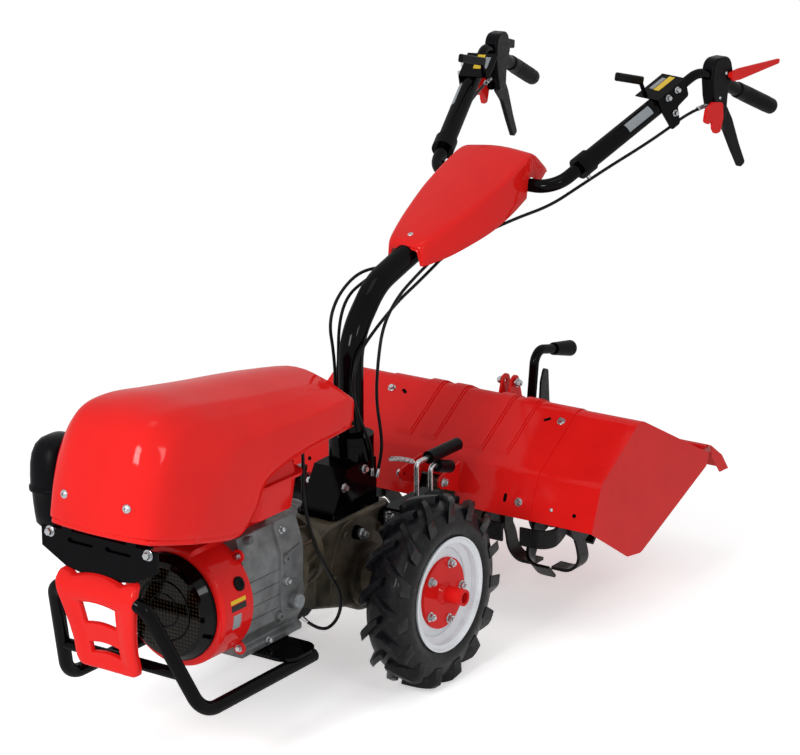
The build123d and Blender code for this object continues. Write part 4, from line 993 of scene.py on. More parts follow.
def rounded_rows(corners: np.ndarray, share: np.ndarray, steps: int = 5) -> np.ndarray:
    """Every row of corner points drawn as straight runs joined by parabolas.

    Each inner corner is the middle control point of a parabola that leaves its two runs at share of
    their length.

    Args:
        corners: (rows, corners, 3) points.
        share: (rows, corners) shares up to a half.
        steps: points on each parabola.

    Returns:
        (rows, points, 3), the two ends of each row among them.
    """
    before, middle, after = corners[:, :-2], corners[:, 1:-1], corners[:, 2:]
    cut = share[:, 1:-1, None]
    first, last = middle + (before - middle) * cut, middle + (after - middle) * cut
    t = np.linspace(0.0, 1.0, steps)[None, None, :, None]
    bends = (1 - t) ** 2 * first[:, :, None] + 2 * t * (1 - t) * middle[:, :, None] + t**2 * last[:, :, None]
    return np.concatenate([corners[:, :1], bends.reshape(len(corners), -1, 3), corners[:, -1:]], axis=1)


def nearest(points: np.ndarray, others: np.ndarray) -> np.ndarray:
    """How far each point of an array lies from the nearest of some other points."""
    return np.sqrt(((points[..., None, :] - others) ** 2).sum(axis=-1)).min(axis=-1)


@dataclass
class HoopShell:
    """A moulded shell over a family of hoops that run from its nose to its tail.

    Every hoop crosses the shell from foot to foot over the lines that run along it. A smooth curve
    along each line and parabolas across the corners fill the surface in, and a rim stands out along
    the nose and the feet.
    """

    # One hoop a row: (x, y, z) from the axle on each line, from the middle out to the foot.
    hoops: tuple = ()
    # How round each line is, from the foot to the middle, at the nose and at the tail.
    nose_round: tuple = ()
    tail_round: tuple = ()
    # The hoops between which the nose's rounding turns into the tail's.
    sharpens: tuple = (1.5, 5.0)
    wall: float = 3.0
    lip: float = 4.4
    lip_height: float = 13.0
    lip_edge: float = 1.2
    # Rows for each span between two hoops, and further rows that carry the rim along the nose.
    steps: int = 7
    nose_rows: tuple = (0.06, 0.132, 0.145, 0.16, 0.175)
    # Heights over the foot of further points above the rim, and where all of these have to end.
    past_lip: tuple = (18.0, 26.0)
    foot_band: float = 30.0

    def feet(self, foot: np.ndarray) -> np.ndarray:
        """The foot line, which a shell with a notch cuts higher."""
        return foot

    def surface(self) -> tuple[np.ndarray, np.ndarray]:
        """Lays the hoops' surface out.

        Returns:
            The outer face as a grid of points from the axle, and the points of its rim.
        """
        half = np.array(self.hoops, float)[:, ::-1]
        last = len(half) - 1
        places = np.unique(np.concatenate([np.linspace(0, last, last * self.steps + 1), self.nose_rows]))
        lines = through(half, places)
        lines[:, 0] = self.feet(lines[:, 0])
        lines = np.concatenate([lines, (lines * MIRROR)[:, -2::-1]], axis=1)
        sharp = ramp(places, *self.sharpens)[:, None]
        share = (1 - sharp) * np.array(self.nose_round) + sharp * np.array(self.tail_round)
        rows = rounded_rows(lines, np.concatenate([share, share[:, -2::-1]], axis=1))
        # Extra points close to each foot carry the edge of the rim. Where a row leaves the foot line
        # at a slant they stand farther along it, so that the rim keeps one height.
        lip = self.lip_height
        steps = np.array([lip / 2, lip, lip + self.lip_edge, *self.past_lip])
        run = rows[:, 1] - rows[:, 0]
        reach = np.linalg.norm(run, axis=1)[:, None]
        way = np.gradient(rows[:, 0], axis=0)
        slant = np.linalg.norm(np.cross(way, run), axis=1) / np.linalg.norm(way, axis=1) / reach[:, 0]
        height = np.minimum(steps / np.clip(slant, 0.4, 1.0)[:, None], reach * steps / self.foot_band)
        left = rows[:, :1] + run[:, None] * (height / reach)[..., None]
        right = (left * MIRROR)[:, ::-1]
        rows = np.concatenate([rows[:, :1], left, rows[:, 1:-1], right, rows[:, -1:]], axis=1)
        return rows, np.concatenate([rows[0], rows[:, 0], rows[:, -1]])

    def shape(self) -> Shape:
        """Raises the surface by the lip near its rim.

        Returns:
            The open outer face with its raised rim, in metres.
        """
        rows, rim = self.surface()
        normal = np.cross(np.gradient(rows, axis=1), np.gradient(rows, axis=0))
        normal /= np.maximum(np.linalg.norm(normal, axis=2), 1e-9)[..., None]
        raised = self.lip * ramp(nearest(rows, rim), self.lip_height + self.lip_edge, self.lip_height)
        points = rows + normal * raised[..., None]
        return Shape(from_axle(points).reshape(-1, 3), grid_faces(*rows.shape[:2]))

    def shell(self, name: str, body: Body, node: str) -> None:
        """Makes the shell, gives it its wall and lets it stand for a CAD node.

        Args:
            name: the piece's name.
            body: the rigid body that carries it.
            node: the CAD node it stands for.
        """
        piece = make(name, self.shape(), RED_ABS, body, 50.0)
        wall = piece.modifiers.new("wall", "SOLIDIFY")
        wall.thickness = self.wall / 1000.0
        wall.offset = -1.0
        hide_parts(node)


@dataclass
class EngineCover(HoopShell):
    """The engine cover; its lines are the middle, the crest, the bevel, the waist and the foot."""

    hoops: tuple = (
        ((0, -924, 364), (78, -920, 364), (141, -905, 361), (171, -802, 340), (172, -791, 338)),
        ((0, -910, 462), (86, -906, 461), (145, -882, 447), (172, -759, 416), (175, -752, 329)),
        ((0, -887, 548), (93, -882, 547), (147, -850, 512), (171, -718, 468), (177, -710, 320)),
        ((0, -840, 608), (98, -834, 604), (143, -804, 566), (171, -678, 502), (178, -670, 314)),
        ((0, -752, 630), (101, -745, 613), (139, -724, 583), (171, -632, 514), (178, -630, 318)),
        ((0, -620, 615), (102, -615, 595), (136, -608, 569), (171, -592, 517), (177, -588, 352)),
        ((0, -500, 600), (102, -498, 578), (135, -490, 555), (172, -492, 517), (176, -528, 416)),
        ((0, -350, 582), (100, -348, 559), (130, -348, 545), (172, -372, 516), (174, -400, 436)),
        ((0, -225, 565), (98, -236, 542), (119, -244, 535), (171, -258, 516), (171, -285, 441)),
        ((0, -182, 550), (96, -192, 530), (117, -198, 525), (167, -208, 510), (169, -222, 444)),
        ((0, -176, 490), (95, -186, 485), (115, -193, 482), (164, -203, 478), (166, -212, 446)),
        ((0, -174, 424), (94, -184, 424), (114, -191, 426), (162, -201, 440), (164, -206, 445)),
    )
    nose_round: tuple = (0.0, 0.24, 0.34, 0.4, 0.5)
    tail_round: tuple = (0.0, 0.06, 0.1, 0.1, 0.5)
    screws: tuple = ((88.5, -930, 437), (-88.5, -930, 437))

    def build(self) -> None:
        """Makes the cover's screws, and its shell in place of its plainer CAD form."""
        seated("cover_screws", DomeScrew(21.0, 6.5), "engine_cover", self.screws, Body.CHASSIS)
        self.shell("engine_cover_shell", Body.CHASSIS, "engine_cover")


@dataclass
class ColumnCover(HoopShell):
    """The leaf-shaped cover over the column's upper end; its lines are the middle, the crest and the foot."""

    hoops: tuple = (
        ((0, 247, 747), (36, 248, 742), (45, 251, 706)),
        ((0, 262, 767), (50, 263, 762), (54, 264, 706)),
        ((0, 330, 796), (70, 331, 790), (75, 330, 717)),
        ((0, 400, 823), (85, 401, 816), (91, 400, 733)),
        ((0, 480, 854), (98, 481, 846), (105, 478, 754)),
        ((0, 560, 884), (104, 561, 876), (111, 556, 781)),
        ((0, 625, 909), (104, 625, 900), (112, 624, 810)),
        ((0, 664, 922), (100, 663, 911), (111, 668, 832)),
        ((0, 688, 916), (98, 687, 904), (109, 702, 846)),
        ((0, 716, 892), (97, 715, 882), (107, 722, 858)),
        ((0, 745, 866), (95, 740, 862), (102, 738, 858)),
    )
    nose_round: tuple = (0.0, 0.2, 0.5)
    tail_round: tuple = (0.0, 0.1, 0.5)
    sharpens: tuple = (1.0, 4.0)
    wall: float = 2.5
    lip: float = 2.4
    lip_height: float = 5.0
    lip_edge: float = 3.0
    steps: int = 14
    bar_y: float = 645.0
    bar_z: float = 840.0
    notch_r: float = 20.0
    screw: tuple = (0, 276, 773)
    screw_out: tuple = (0, -0.385, 1.0)

    def feet(self, foot: np.ndarray) -> np.ndarray:
        """The foot line with a round notch over the crossbar.

        Args:
            foot: the plain foot line's points from the axle.

        Returns:
            The line, which follows the notch's circle where that is higher.
        """
        off = np.clip(1 - ((foot[:, 1] - self.bar_y) / self.notch_r) ** 2, 0, None)
        notch = np.where(off > 0, self.bar_z + self.notch_r * np.sqrt(off), 0.0)
        return np.column_stack([foot[:, :2], np.maximum(foot[:, 2], notch)])

    def build(self) -> None:
        """Makes the cover's screw, and its shell in place of its plainer CAD form."""
        place = (from_axle(self.screw), self.screw_out)
        fasten("column_cover_screw", DomeScrew(16.0, 4.5), [place], Body.HANDLEBAR)
        self.shell("column_cover_shell", Body.HANDLEBAR, "column_cover")


@dataclass
class AirCleaner:
    """The air cleaner: a round-cornered dome over a flange and a narrower bowl, with its intake duct."""

    middle: tuple = (-229.0, -765.0)
    half: tuple = (52.0, 69.0)
    squareness: float = 2.7
    duct: tuple = (
        (-229, -700, 330), (-229, -640, 330), (-226, -592, 325), (-214, -562, 296), (-203, -540, 274),
        (-203, -505, 272),
    )
    duct_d: float = 44.0
    # (level, share of the half width) from the bowl's floor to the crown.
    outline: tuple = (
        (298, 0.5), (301, 0.7), (309, 0.8), (330, 0.84), (356, 0.88), (378, 0.9), (382, 0.92),
        (384, 0.99), (386, 1.0), (393, 1.0), (395, 0.99), (397, 0.95), (420, 0.95), (446, 0.93),
        (468, 0.87), (486, 0.75), (497, 0.58), (503, 0.36), (505, 0.12),
    )

    def dome(self) -> Shape:
        """Levels of one superellipse: x = a sgn(cos t) |cos t|^(2/n), y = b sgn(sin t) |sin t|^(2/n).

        Returns:
            The closed dome over its flange and bowl, in metres.
        """
        level, share = np.array(self.outline, float).T[:, :, None]
        t = np.linspace(0, 2 * np.pi, 56, endpoint=False)
        x, y = (
            middle + half * share * (np.sign(f(t)) * np.abs(f(t)) ** (2 / self.squareness))
            for middle, half, f in zip(self.middle, self.half, (np.cos, np.sin))
        )
        return capped(from_axle(grid(x, y, level)))

    def build(self) -> None:
        """Makes the air cleaner in place of its plainer CAD form."""
        path = from_axle(through(np.array(self.duct, float), np.linspace(0, len(self.duct) - 1, 31)))
        shape = self.dome() + tube(path, self.duct_d, 24)
        piece = make("air_cleaner_body", shape, BLACK_NYLON, Body.CHASSIS)
        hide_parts("air_cleaner")


def slab(front: np.ndarray, back: np.ndarray, faces: np.ndarray) -> Shape:
    """A closed plate: its front face, the same face at other points behind, and a wall round every free edge.

    Args:
        front: the front face's points in metres.
        back: where each of its points lies at the back.
        faces: the front face's quads.

    Returns:
        The closed plate.
    """
    count = len(front)
    edges = np.stack([faces, np.roll(faces, -1, axis=1)], axis=2).reshape(-1, 2)
    keys = np.sort(edges, axis=1) @ (count, 1)
    _, first, uses = np.unique(keys, return_index=True, return_counts=True)
    free = edges[first[uses == 1]]
    walls = np.column_stack([free[:, 1], free[:, 0], free[:, 0] + count, free[:, 1] + count])
    quads = np.vstack([faces, faces[:, ::-1] + count, walls])
    return Shape(np.vstack([front, back]), [tuple(quad) for quad in quads.tolist()])


@dataclass
class BumperGrille:
    """The moulded grille that clips over the bumper's top tube: two beams, three bars, two windows.

    Its face is a grid of levels and shares of the half width. The face leans back below the tube,
    rolls back above it, drops in a quarter round along every edge and lies deeper between the beams.
    """

    tube_y: float = -912.0
    tube_z: float = 228.0
    reach: float = 17.1
    lean: float = 0.218
    depth: float = 17.0
    edge_r: float = 9.0
    recess: float = 5.0
    window_share: float = 0.46
    windows: tuple = ((80.0, 104.0), (152.0, 200.0))
    # (level, half width) from the foot to the horns.
    sides: tuple = (
        (40, 68), (48, 82), (64, 87), (100, 85), (140, 90), (180, 98), (215, 107), (245, 110), (260, 107),
        (266, 97),
    )
    # The top edge: level with the neck, a bow between the horns' feet, and a rise up to each horn.
    neck: float = 215.0
    dip: float = 258.0
    bow_half: float = 66.0
    bow_rise: float = 13.0
    horn_run: float = 26.0
    horn_rise: float = 10.0
    # The beams arch up by this much in the middle.
    arch: float = 6.0
    # Above this height the face rolls back, by this much at 30 mm farther up.
    roll_z: float = 234.0
    roll_back: float = 15.0

    def levels(self) -> np.ndarray:
        """Chooses the grid's levels.

        Returns:
            A column of levels, close together at the foot, the top and each window's edges.
        """
        fine = np.array([0.0, 2.5, 5.5, 9.5])
        stops = [self.sides[0][0] + fine, self.sides[-1][0] - fine, np.linspace(50, 256, 20)]
        for low, high in self.windows:
            stops += [low - fine, high + fine, np.linspace(low, high, 4)]
        return np.unique(np.concatenate(stops))[:, None]

    def shares(self) -> np.ndarray:
        """Chooses the grid's shares of the half width.

        Returns:
            A row of shares, close together at the sides and the windows' edges.
        """
        edge = self.window_share
        inner = [0.0, 0.16, 0.32, edge, edge + 0.03, edge + 0.06, edge + 0.1]
        right = np.array([*inner, 0.66, 0.74, 0.82, 0.9, 0.945, 0.975, 1.0])
        return np.unique(np.concatenate([right, -right]))[None]

    def face(self, level: np.ndarray, share: np.ndarray) -> np.ndarray:
        """The face before its edges are rounded.

        Args:
            level: the grid's levels, down a column.
            share: the grid's shares of the half width, along a row.

        Returns:
            (levels, shares, 3) points from the axle.
        """
        foot, half = np.array(self.sides, float).T
        x = share * np.interp(level, foot, half)
        far = np.abs(x)
        bow = self.dip + self.bow_rise * np.cos(np.pi * far / (2 * self.bow_half))
        horn = self.dip + self.horn_rise * np.sin(
            ramp(far, self.bow_half, self.bow_half + self.horn_run) * np.pi / 2
        )
        top = np.where(far < self.bow_half, bow, horn)
        up = (level - self.neck) / (foot[-1] - self.neck)
        z = np.where(level > self.neck, self.neck + up * (top - self.neck), level)
        arch = self.arch * (1 - np.clip(np.abs(share) / self.window_share, 0, 1) ** 2)
        z = z + arch * np.minimum(ramp(level, 45, 75), ramp(level, 240, 205))
        lowest = self.tube_z - self.reach * self.lean
        roll = self.roll_back * (np.maximum(z - self.roll_z, 0) / 30) ** 2
        y = self.tube_y - self.reach + np.maximum(lowest - z, 0) * self.lean + roll
        return grid(x, y, z)

    def shape(self) -> Shape:
        """The closed moulding, its windows open and its edges rounded.

        Returns:
            The moulding in metres.
        """
        level, share = self.levels(), self.shares()
        points = self.face(level, share)
        mid_level, mid_share = (level[1:] + level[:-1]) / 2, np.abs(share[:, 1:] + share[:, :-1]) / 2
        solid = np.ones((len(mid_level), mid_share.size), bool)
        for low, high in self.windows:
            solid &= ~((mid_level > low) & (mid_level < high) & (mid_share < self.window_share))
        faces = np.array(grid_faces(*points.shape[:2]))[solid.ravel()]
        points = points.reshape(-1, 3)
        # A point on an edge belongs to fewer than four quads.
        uses = np.bincount(faces.ravel(), minlength=len(points))
        short = np.clip(self.edge_r - nearest(points, points[(uses > 0) & (uses < 4)]), 0, self.edge_r)
        drop = self.edge_r - np.sqrt(self.edge_r**2 - short**2)
        between_beams = np.minimum(ramp(level, 56, 64), ramp(level, 210, 202))
        inner = ramp(np.abs(share), 0.68, 0.58) * between_beams
        drop = np.maximum(drop, self.recess * inner.ravel())
        front = points + drop[:, None] * BACKWARD
        return slab(from_axle(front), from_axle(points + (0.0, self.depth, 0.0)), faces)

    def build(self) -> None:
        """Makes the grille in place of its plainer CAD form."""
        piece = make("bumper_grille_moulding", self.shape(), RED_ABS, Body.CHASSIS, 50.0)
        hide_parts("bumper_grille")


# ------------------------------------------------------------------ engine
@dataclass
class Engine:
    """Fasteners, films and starter rim of the engine, its cover and bracket, and a painted shade sheet behind
    the bracket's slots.
    """

    crank_z: float = 119.0
    shroud_r: float = 142.0
    starter_face: float = -692.0
    bracket_bolts: tuple = ((135, -904, 340), (-135, -904, 340))
    lug_bolts: tuple = ((104, -560, 226), (104, -560, 8), (-104, -560, 8))
    # Middle of the black sheet that paints the shade behind the bracket's slots.
    slot_shade_middle: tuple = (0, -896, 331)
    # (radius, half the thickness, how far behind the starter's face) of its rim and its two beads.
    beads: tuple = ((121.0, 4.2, 25.5), (70.0, 2.4, 0.0), (38.0, 1.6, 0.0))
    # The screws of the starter's flange: radius, how far behind its face, and where they stand round it.
    screw_r: float = 115.0
    screw_back: float = 22.0
    screw_degrees: tuple = (8.0, 128.0, 248.0)
    # y and degrees round the shroud of its rubber plug.
    plug: tuple = (-591, 24.0)
    # Name, y, degrees round the shroud, length, width and finish.
    shroud_films: tuple = (
        ("shroud_upper_film", -606, 10.2, 52, 9, LABEL_YELLOW),
        ("shroud_middle_film", -606, 4.6, 52, 14, LABEL_BLACK),
        ("shroud_lower_film", -612, -9.0, 28, 34, LABEL_SILVER),
    )

    def fasteners(self) -> None:
        """Bracket bolts and shroud lug bolts, all facing forwards."""
        for name, kind, points in (
            ("bracket_bolts", Bolt(15.0, 9.0, 25.0, 2.0), self.bracket_bolts),
            ("shroud_bolts", Bolt(11.0, 6.0, 17.0, 1.5), self.lug_bolts),
        ):
            fasten(name, kind, [(from_axle(point), FORWARD) for point in points], Body.CHASSIS)

    def starter(self) -> None:
        """The starter's rolled rim, its raised inner beads and three flange screws."""
        y, z = self.starter_face, self.crank_z
        beads = [bead(r, half).placed(at((0, y + back, z), FORWARD)) for r, half, back in self.beads]
        make("starter_beads", join(beads), BLACK_COAT, Body.CHASSIS)
        r, y = self.screw_r, y + self.screw_back
        screws = [(r * math.cos(a), y, z + r * math.sin(a)) for a in np.radians(self.screw_degrees)]
        seated("starter_screws", Bolt(8.0, 5.0, 13.0, 1.2), "recoil_cover", screws, Body.CHASSIS)

    def on_shroud(self, y: float, degrees: float) -> tuple[Point, Point]:
        """A point from the axle on the shroud's round face, and the way out there."""
        c, s = math.cos(math.radians(degrees)), math.sin(math.radians(degrees))
        return (self.shroud_r * c, y, self.crank_z + self.shroud_r * s), (c, 0.0, s)

    def films(self) -> None:
        """The shroud's three blank films, bent round it, and its rubber plug."""
        for name, y, degrees, length, width, finish in self.shroud_films:
            centre, out = self.on_shroud(y, degrees)
            shape = film(centre, BACKWARD, out, length, width, self.shroud_r)
            make(name, shape, finish, Body.CHASSIS, 20.0)
        plug = lathe([(16.5, 0.0), (16.5, 3.0), (14.5, 4.5), (8.0, 4.5), (7.5, 3.0)], 28)
        make("shroud_plug", plug.placed(at(*self.on_shroud(*self.plug))), GRIP_PVC, Body.CHASSIS)

    def slot_shade_sheet(self) -> None:
        """Painted shade: a black sheet behind the front bracket's two slots that stands for the shadow seen
        through them.
        """
        sheet = film(self.slot_shade_middle, LEFT, FORWARD, 236.0, 34.0, thickness=1.0)
        make("bracket_slot_painted_shade", sheet, BLACK_COAT, Body.CHASSIS)

    def build(self) -> None:
        """Makes all of the engine's fine pieces."""
        self.fasteners()
        self.slot_shade_sheet()
        self.starter()
        self.films()


def rib(points: Sequence[Point], width: float, height: float, out: Point = LEFT) -> Shape:
    """A cast rib with sloping sides along a line of points.

    Across the line it is a trapezium that stands height above the points, along out, with its foot
    2 mm under them: foot, shoulder, top, shoulder, foot.

    Args:
        points: the line on the surface, from the axle.
        width: its width at the foot.
        height: how far it stands out.
        out: the way it stands out.

    Returns:
        The closed rib.
    """
    line = np.asarray(points, float)
    face = np.asarray(out, float) / np.linalg.norm(out)
    across = np.cross(np.gradient(line, axis=0), face)
    across /= np.linalg.norm(across, axis=1)[:, None]
    outline = [(-0.5, -2.0), (-0.42, 0.0), (-0.3, height), (0.3, height), (0.42, 0.0), (0.5, -2.0)]
    rows = np.stack([line + u * width * across + v * face for u, v in outline], axis=1)
    return capped(from_axle(rows), turned_over=True)


def boss(radius: float, height: float, bore: float = 0.0) -> Shape:
    """A cast boss along local Z with a drafted side and a rounded rim.

    Args:
        radius: its radius.
        height: how far it stands out.
        bore: the radius of a bore 3 mm deep, or 0 for none.

    Returns:
        The closed boss, its foot 2 mm under local Z = 0.
    """
    profile = [(radius * 1.12, -2), (radius * 1.02, height - 1.5), (radius - 1.2, height)]
    if bore:
        profile += [(bore, height), (bore, height - 3)]
    return lathe(profile, 24)


def fluted_cap(radius: float, height: float, flutes: int = 18) -> Shape:
    """A screwed cap along local Z whose rim radius falls by a small cosine at each flute.

    Args:
        radius: its greatest radius.
        height: its height.
        flutes: the number of flutes.

    Returns:
        The closed cap.
    """
    t = np.linspace(0, 2 * np.pi, flutes * 4, endpoint=False)
    grip = radius - 0.9 + 0.9 * np.cos(flutes * t)
    levels = [(1.0, -1.0), (1.0, height * 0.8), (0.93, height), (0.6, height), (0.55, height - 1.5)]
    share, level = np.array(levels).T[:, :, None]
    r = grip * share
    return capped(grid(r * np.cos(t), r * np.sin(t), level) * MM)


@dataclass(frozen=True)
class Spring:
    """A coil spring with straight tails, hooked between two points from the axle."""

    start: Point
    end: Point
    radius: float
    wire: float
    turns: int
    # How far the middle bows up.
    bow: float = 0.0

    def shape(self) -> Shape:
        """The wire: point = line + r (cos 2 pi n s, sin 2 pi n s) about the line.

        Returns:
            The closed wire.
        """
        a, b = np.asarray(self.start, float), np.asarray(self.end, float)
        s = np.linspace(0.0, 1.0, self.turns * 10 + 1)
        up = np.array([0.0, 0.0, 1.0])
        line = a + (b - a) * s[:, None] + up * (4 * self.bow * s * (1 - s))[:, None]
        run = (b - a) / np.linalg.norm(b - a)
        side = np.cross(run, up)
        side /= np.linalg.norm(side)
        swell = self.radius * np.clip(np.minimum(s, 1 - s) * 12, 0.0, 1.0)
        t = 2 * np.pi * self.turns * s
        path = line + (swell * np.cos(t))[:, None] * side + (swell * np.sin(t))[:, None] * np.cross(side, run)
        return tube(from_axle(path), self.wire, 6)


@dataclass
class Castings:
    """Ribs, bosses, plugs and bolts of the crankcase, bell housing and gearbox."""

    flank: float = 118.0
    seam_y: float = -421.0
    # (x, z) down the split flange.
    seam: tuple = ((97, 259), (103, 241), (118, 196), (118, 150), (118, 90), (118, 42), (107, 22))
    # Levels of the flank's straight ribs, and (y, y, z, z) ends of the short ones behind the seam.
    flank_levels: tuple = (66, 96, 126, 156)
    short_ribs: tuple = ((-414, -350, 182, 196), (-414, -362, 128, 112), (-414, -392, 62, 50))
    # (y, z, radius, height) of the flank's bosses and of the gearbox cover's.
    flank_bosses: tuple = ((-404, 177, 11.0, 9.0), (-410, 126, 11.0, 11.0), (-430, 46, 10.0, 9.0))
    gear_bosses: tuple = ((55, 102, 10.0, 10.0), (-96, 128, 9.0, 8.0), (-140, 30, 9.0, 8.0))
    top_boss: tuple = (99, -522, 250)
    filler: tuple = (132, -375, 68)
    boss_bolt: tuple = (128.8, -410, 126)
    crank_bolts: tuple = ((112, -463, -4), (103, -398, 239))
    bell_middle: tuple = (0.0, 0.0, 119.0)
    fin_degrees: tuple = (-42, -18, 6, 30, 54)
    # (radius, y) along each fin of the bell housing.
    fin_line: tuple = ((108.5, -316), (98, -282), (88, -250), (80.5, -224))
    # Radius and y of the lug behind each fin.
    fin_lug: tuple = (109, -317)
    gear_x: float = 64.0
    # (y, z) round the gearbox cover's flange.
    gear_rim: tuple = (
        (92, 60), (92, 130), (70, 158), (-60, 158), (-100, 150), (-126, 120), (-150, 60), (-150, 0),
    )
    gear_studs: tuple = ((64, 59.7, 133.7), (64, -48.9, 122.8))
    base_bolts: tuple = ((48, -74, 237), (48, 8, 262))
    spring: Spring = Spring((100, 36, 288), (99, 148, 249), 5.0, 2.2, 20, 4.0)

    def crankcase(self) -> None:
        """The crankcase's split flange, flank ribs, bosses and oil filler."""
        x, y = self.flank, self.seam_y
        shapes = [rib([(across, y, z) for across, z in self.seam], 13.0, 5.0)]
        for z in self.flank_levels:
            shapes.append(rib([(x, -548, z), (x, -480, z), (x, y - 6, z)], 5.0, 2.2))
        for y1, y2, z1, z2 in self.short_ribs:
            shapes.append(rib([(x, y1, z1), (x, (y1 + y2) / 2, (z1 + z2) / 2), (x, y2, z2)], 6.0, 4.0))
        for y, z, radius, height in self.flank_bosses:
            shapes.append(boss(radius, height, 4.0).placed(at((x, y, z), LEFT)))
        shapes.append(boss(9.0, 16.0).placed(along(*seat("engine_block", self.top_boss))))
        make("crankcase_ribs", join(shapes), DIE_CAST, Body.CHASSIS, 40.0)
        cap = fluted_cap(16.5, 9.0).placed(at(self.filler, LEFT))
        make("oil_filler_cap", cap, LABEL_SILVER, Body.CHASSIS)
        shape = Bolt(11.0, 7.0, 17.0, 1.6).shape()
        places = [shape.placed(at(self.boss_bolt, LEFT))]
        places += [shape.placed(along(*seat("engine_block", p), 20.0)) for p in self.crank_bolts]
        make("crankcase_bolts", join(places), ZINC, Body.CHASSIS)

    def bell(self) -> None:
        """Radial fins along the bell housing's cone, each with a bored lug behind it."""
        shapes = []
        for degrees in self.fin_degrees:
            a = math.radians(degrees)
            out = np.array([math.cos(a), 0.0, math.sin(a)])
            line = [self.bell_middle + r * out + (0, y, 0) for r, y in self.fin_line]
            shapes.append(rib(line, 8.0, 5.0, out))
            r, y = self.fin_lug
            lug = self.bell_middle + r * out + (0, y, 0)
            shapes.append(boss(9.0, 9.0, 4.0).placed(at(lug, BACKWARD)))
        make("bell_fins", join(shapes), GEAR_CAST, Body.CHASSIS, 40.0)

    def gearbox(self) -> None:
        """The gearbox's cover flange, its lugs with their stacked washers, and the base's bolts."""
        x = self.gear_x
        shapes = [rib([(x, y, z) for y, z in self.gear_rim], 10.0, 4.0)]
        for y, z, radius, height in self.gear_bosses:
            shapes.append(boss(radius, height, 4.5).placed(at((x, y, z), LEFT)))
        make("gearbox_ribs", join(shapes), GEAR_CAST, Body.CHASSIS, 40.0)
        lugs = [boss(16.0, 14.0).placed(at(p, LEFT)) for p in self.gear_studs]
        make("gearbox_lugs", join(lugs), BLACK_COAT, Body.CHASSIS)
        shape = Bolt(17.0, 11.0, 26.0, 5.0, 6.0).shape()
        tops = [shape.placed(at((x + 14, y, z), LEFT, 11.0)) for x, y, z in self.gear_studs]
        make("gearbox_bolts", join(tops), ZINC, Body.CHASSIS)
        seated("base_bolts", Bolt(13.0, 8.0, 22.0, 2.0), "column_base", self.base_bolts, Body.CHASSIS, True)
        make("selector_spring", self.spring.shape(), ZINC, Body.CHASSIS)

    def build(self) -> None:
        """Makes the fine pieces of every casting."""
        self.crankcase()
        self.bell()
        self.gearbox()


# ------------------------------------------------------------------ tiller
@dataclass
class Tiller:
    """Bolts, rivets and the painted shade of punched slots on the hood, and the bolts of the lugs and the
    clevis.
    """

    hood_bolts: tuple = ((256, 570, 269), (239, 399, 103))
    rivet: tuple = (332, 400, 100)
    lug_bolt: tuple = (62, 331, 140)
    clevis_bolt: tuple = (23, 736, 290)
    # Point on the left, length, width and turn of each punched hole's painted shade, and the node it lies on.
    holes: tuple = (
        ((216, 569, 268), 20.0, 9.0, 35.0, "tiller_hood"),
        ((199, 400, 107), 22.0, 9.0, 90.0, "tiller_hood"),
        ((398, 400, 98), 10.5, 10.4, 0.0, "hood_wings"),
    )

    def build(self) -> None:
        """The fasteners and the painted shade of the holes on the hood's front, each seated on its sheet, and
        the side bolts.
        """
        seated("hood_bolts", Bolt(13.0, 7.0, 21.0, 2.0), "tiller_hood", self.hood_bolts, Body.CHASSIS, True)
        seated("hood_rivets", DomeScrew(10.0, 3.0), "hood_wings", [self.rivet], Body.CHASSIS, True)
        outward = [
            (from_axle((side * x, y, z)), (side, 0, 0))
            for side in (1, -1)
            for x, y, z in (self.lug_bolt, self.clevis_bolt)
        ]
        fasten("lug_bolts", Bolt(16.0, 9.0, 24.0, 2.5, 3.0), outward, Body.CHASSIS)
        plugs = []
        for (x, y, z), length, width, turn, node in self.holes:
            for side in (1, -1):
                place, out = seat(node, (side * x, y, z))
                along_x = (Vector(LEFT) - out * out.x).normalized()
                axes = Matrix((along_x, out.cross(along_x), out)).transposed().to_4x4()
                spin = Matrix.Rotation(math.radians(side * turn), 4, "Z")
                plugs.append(painted_slot_shade(length, width).placed(Matrix.Translation(place) @ axes @ spin))
        # Dark plugs seated over the holes paint the shade inside them.
        make("hood_slot_painted_shade", join(plugs), PAINTED_HOLE_SHADE, Body.CHASSIS)


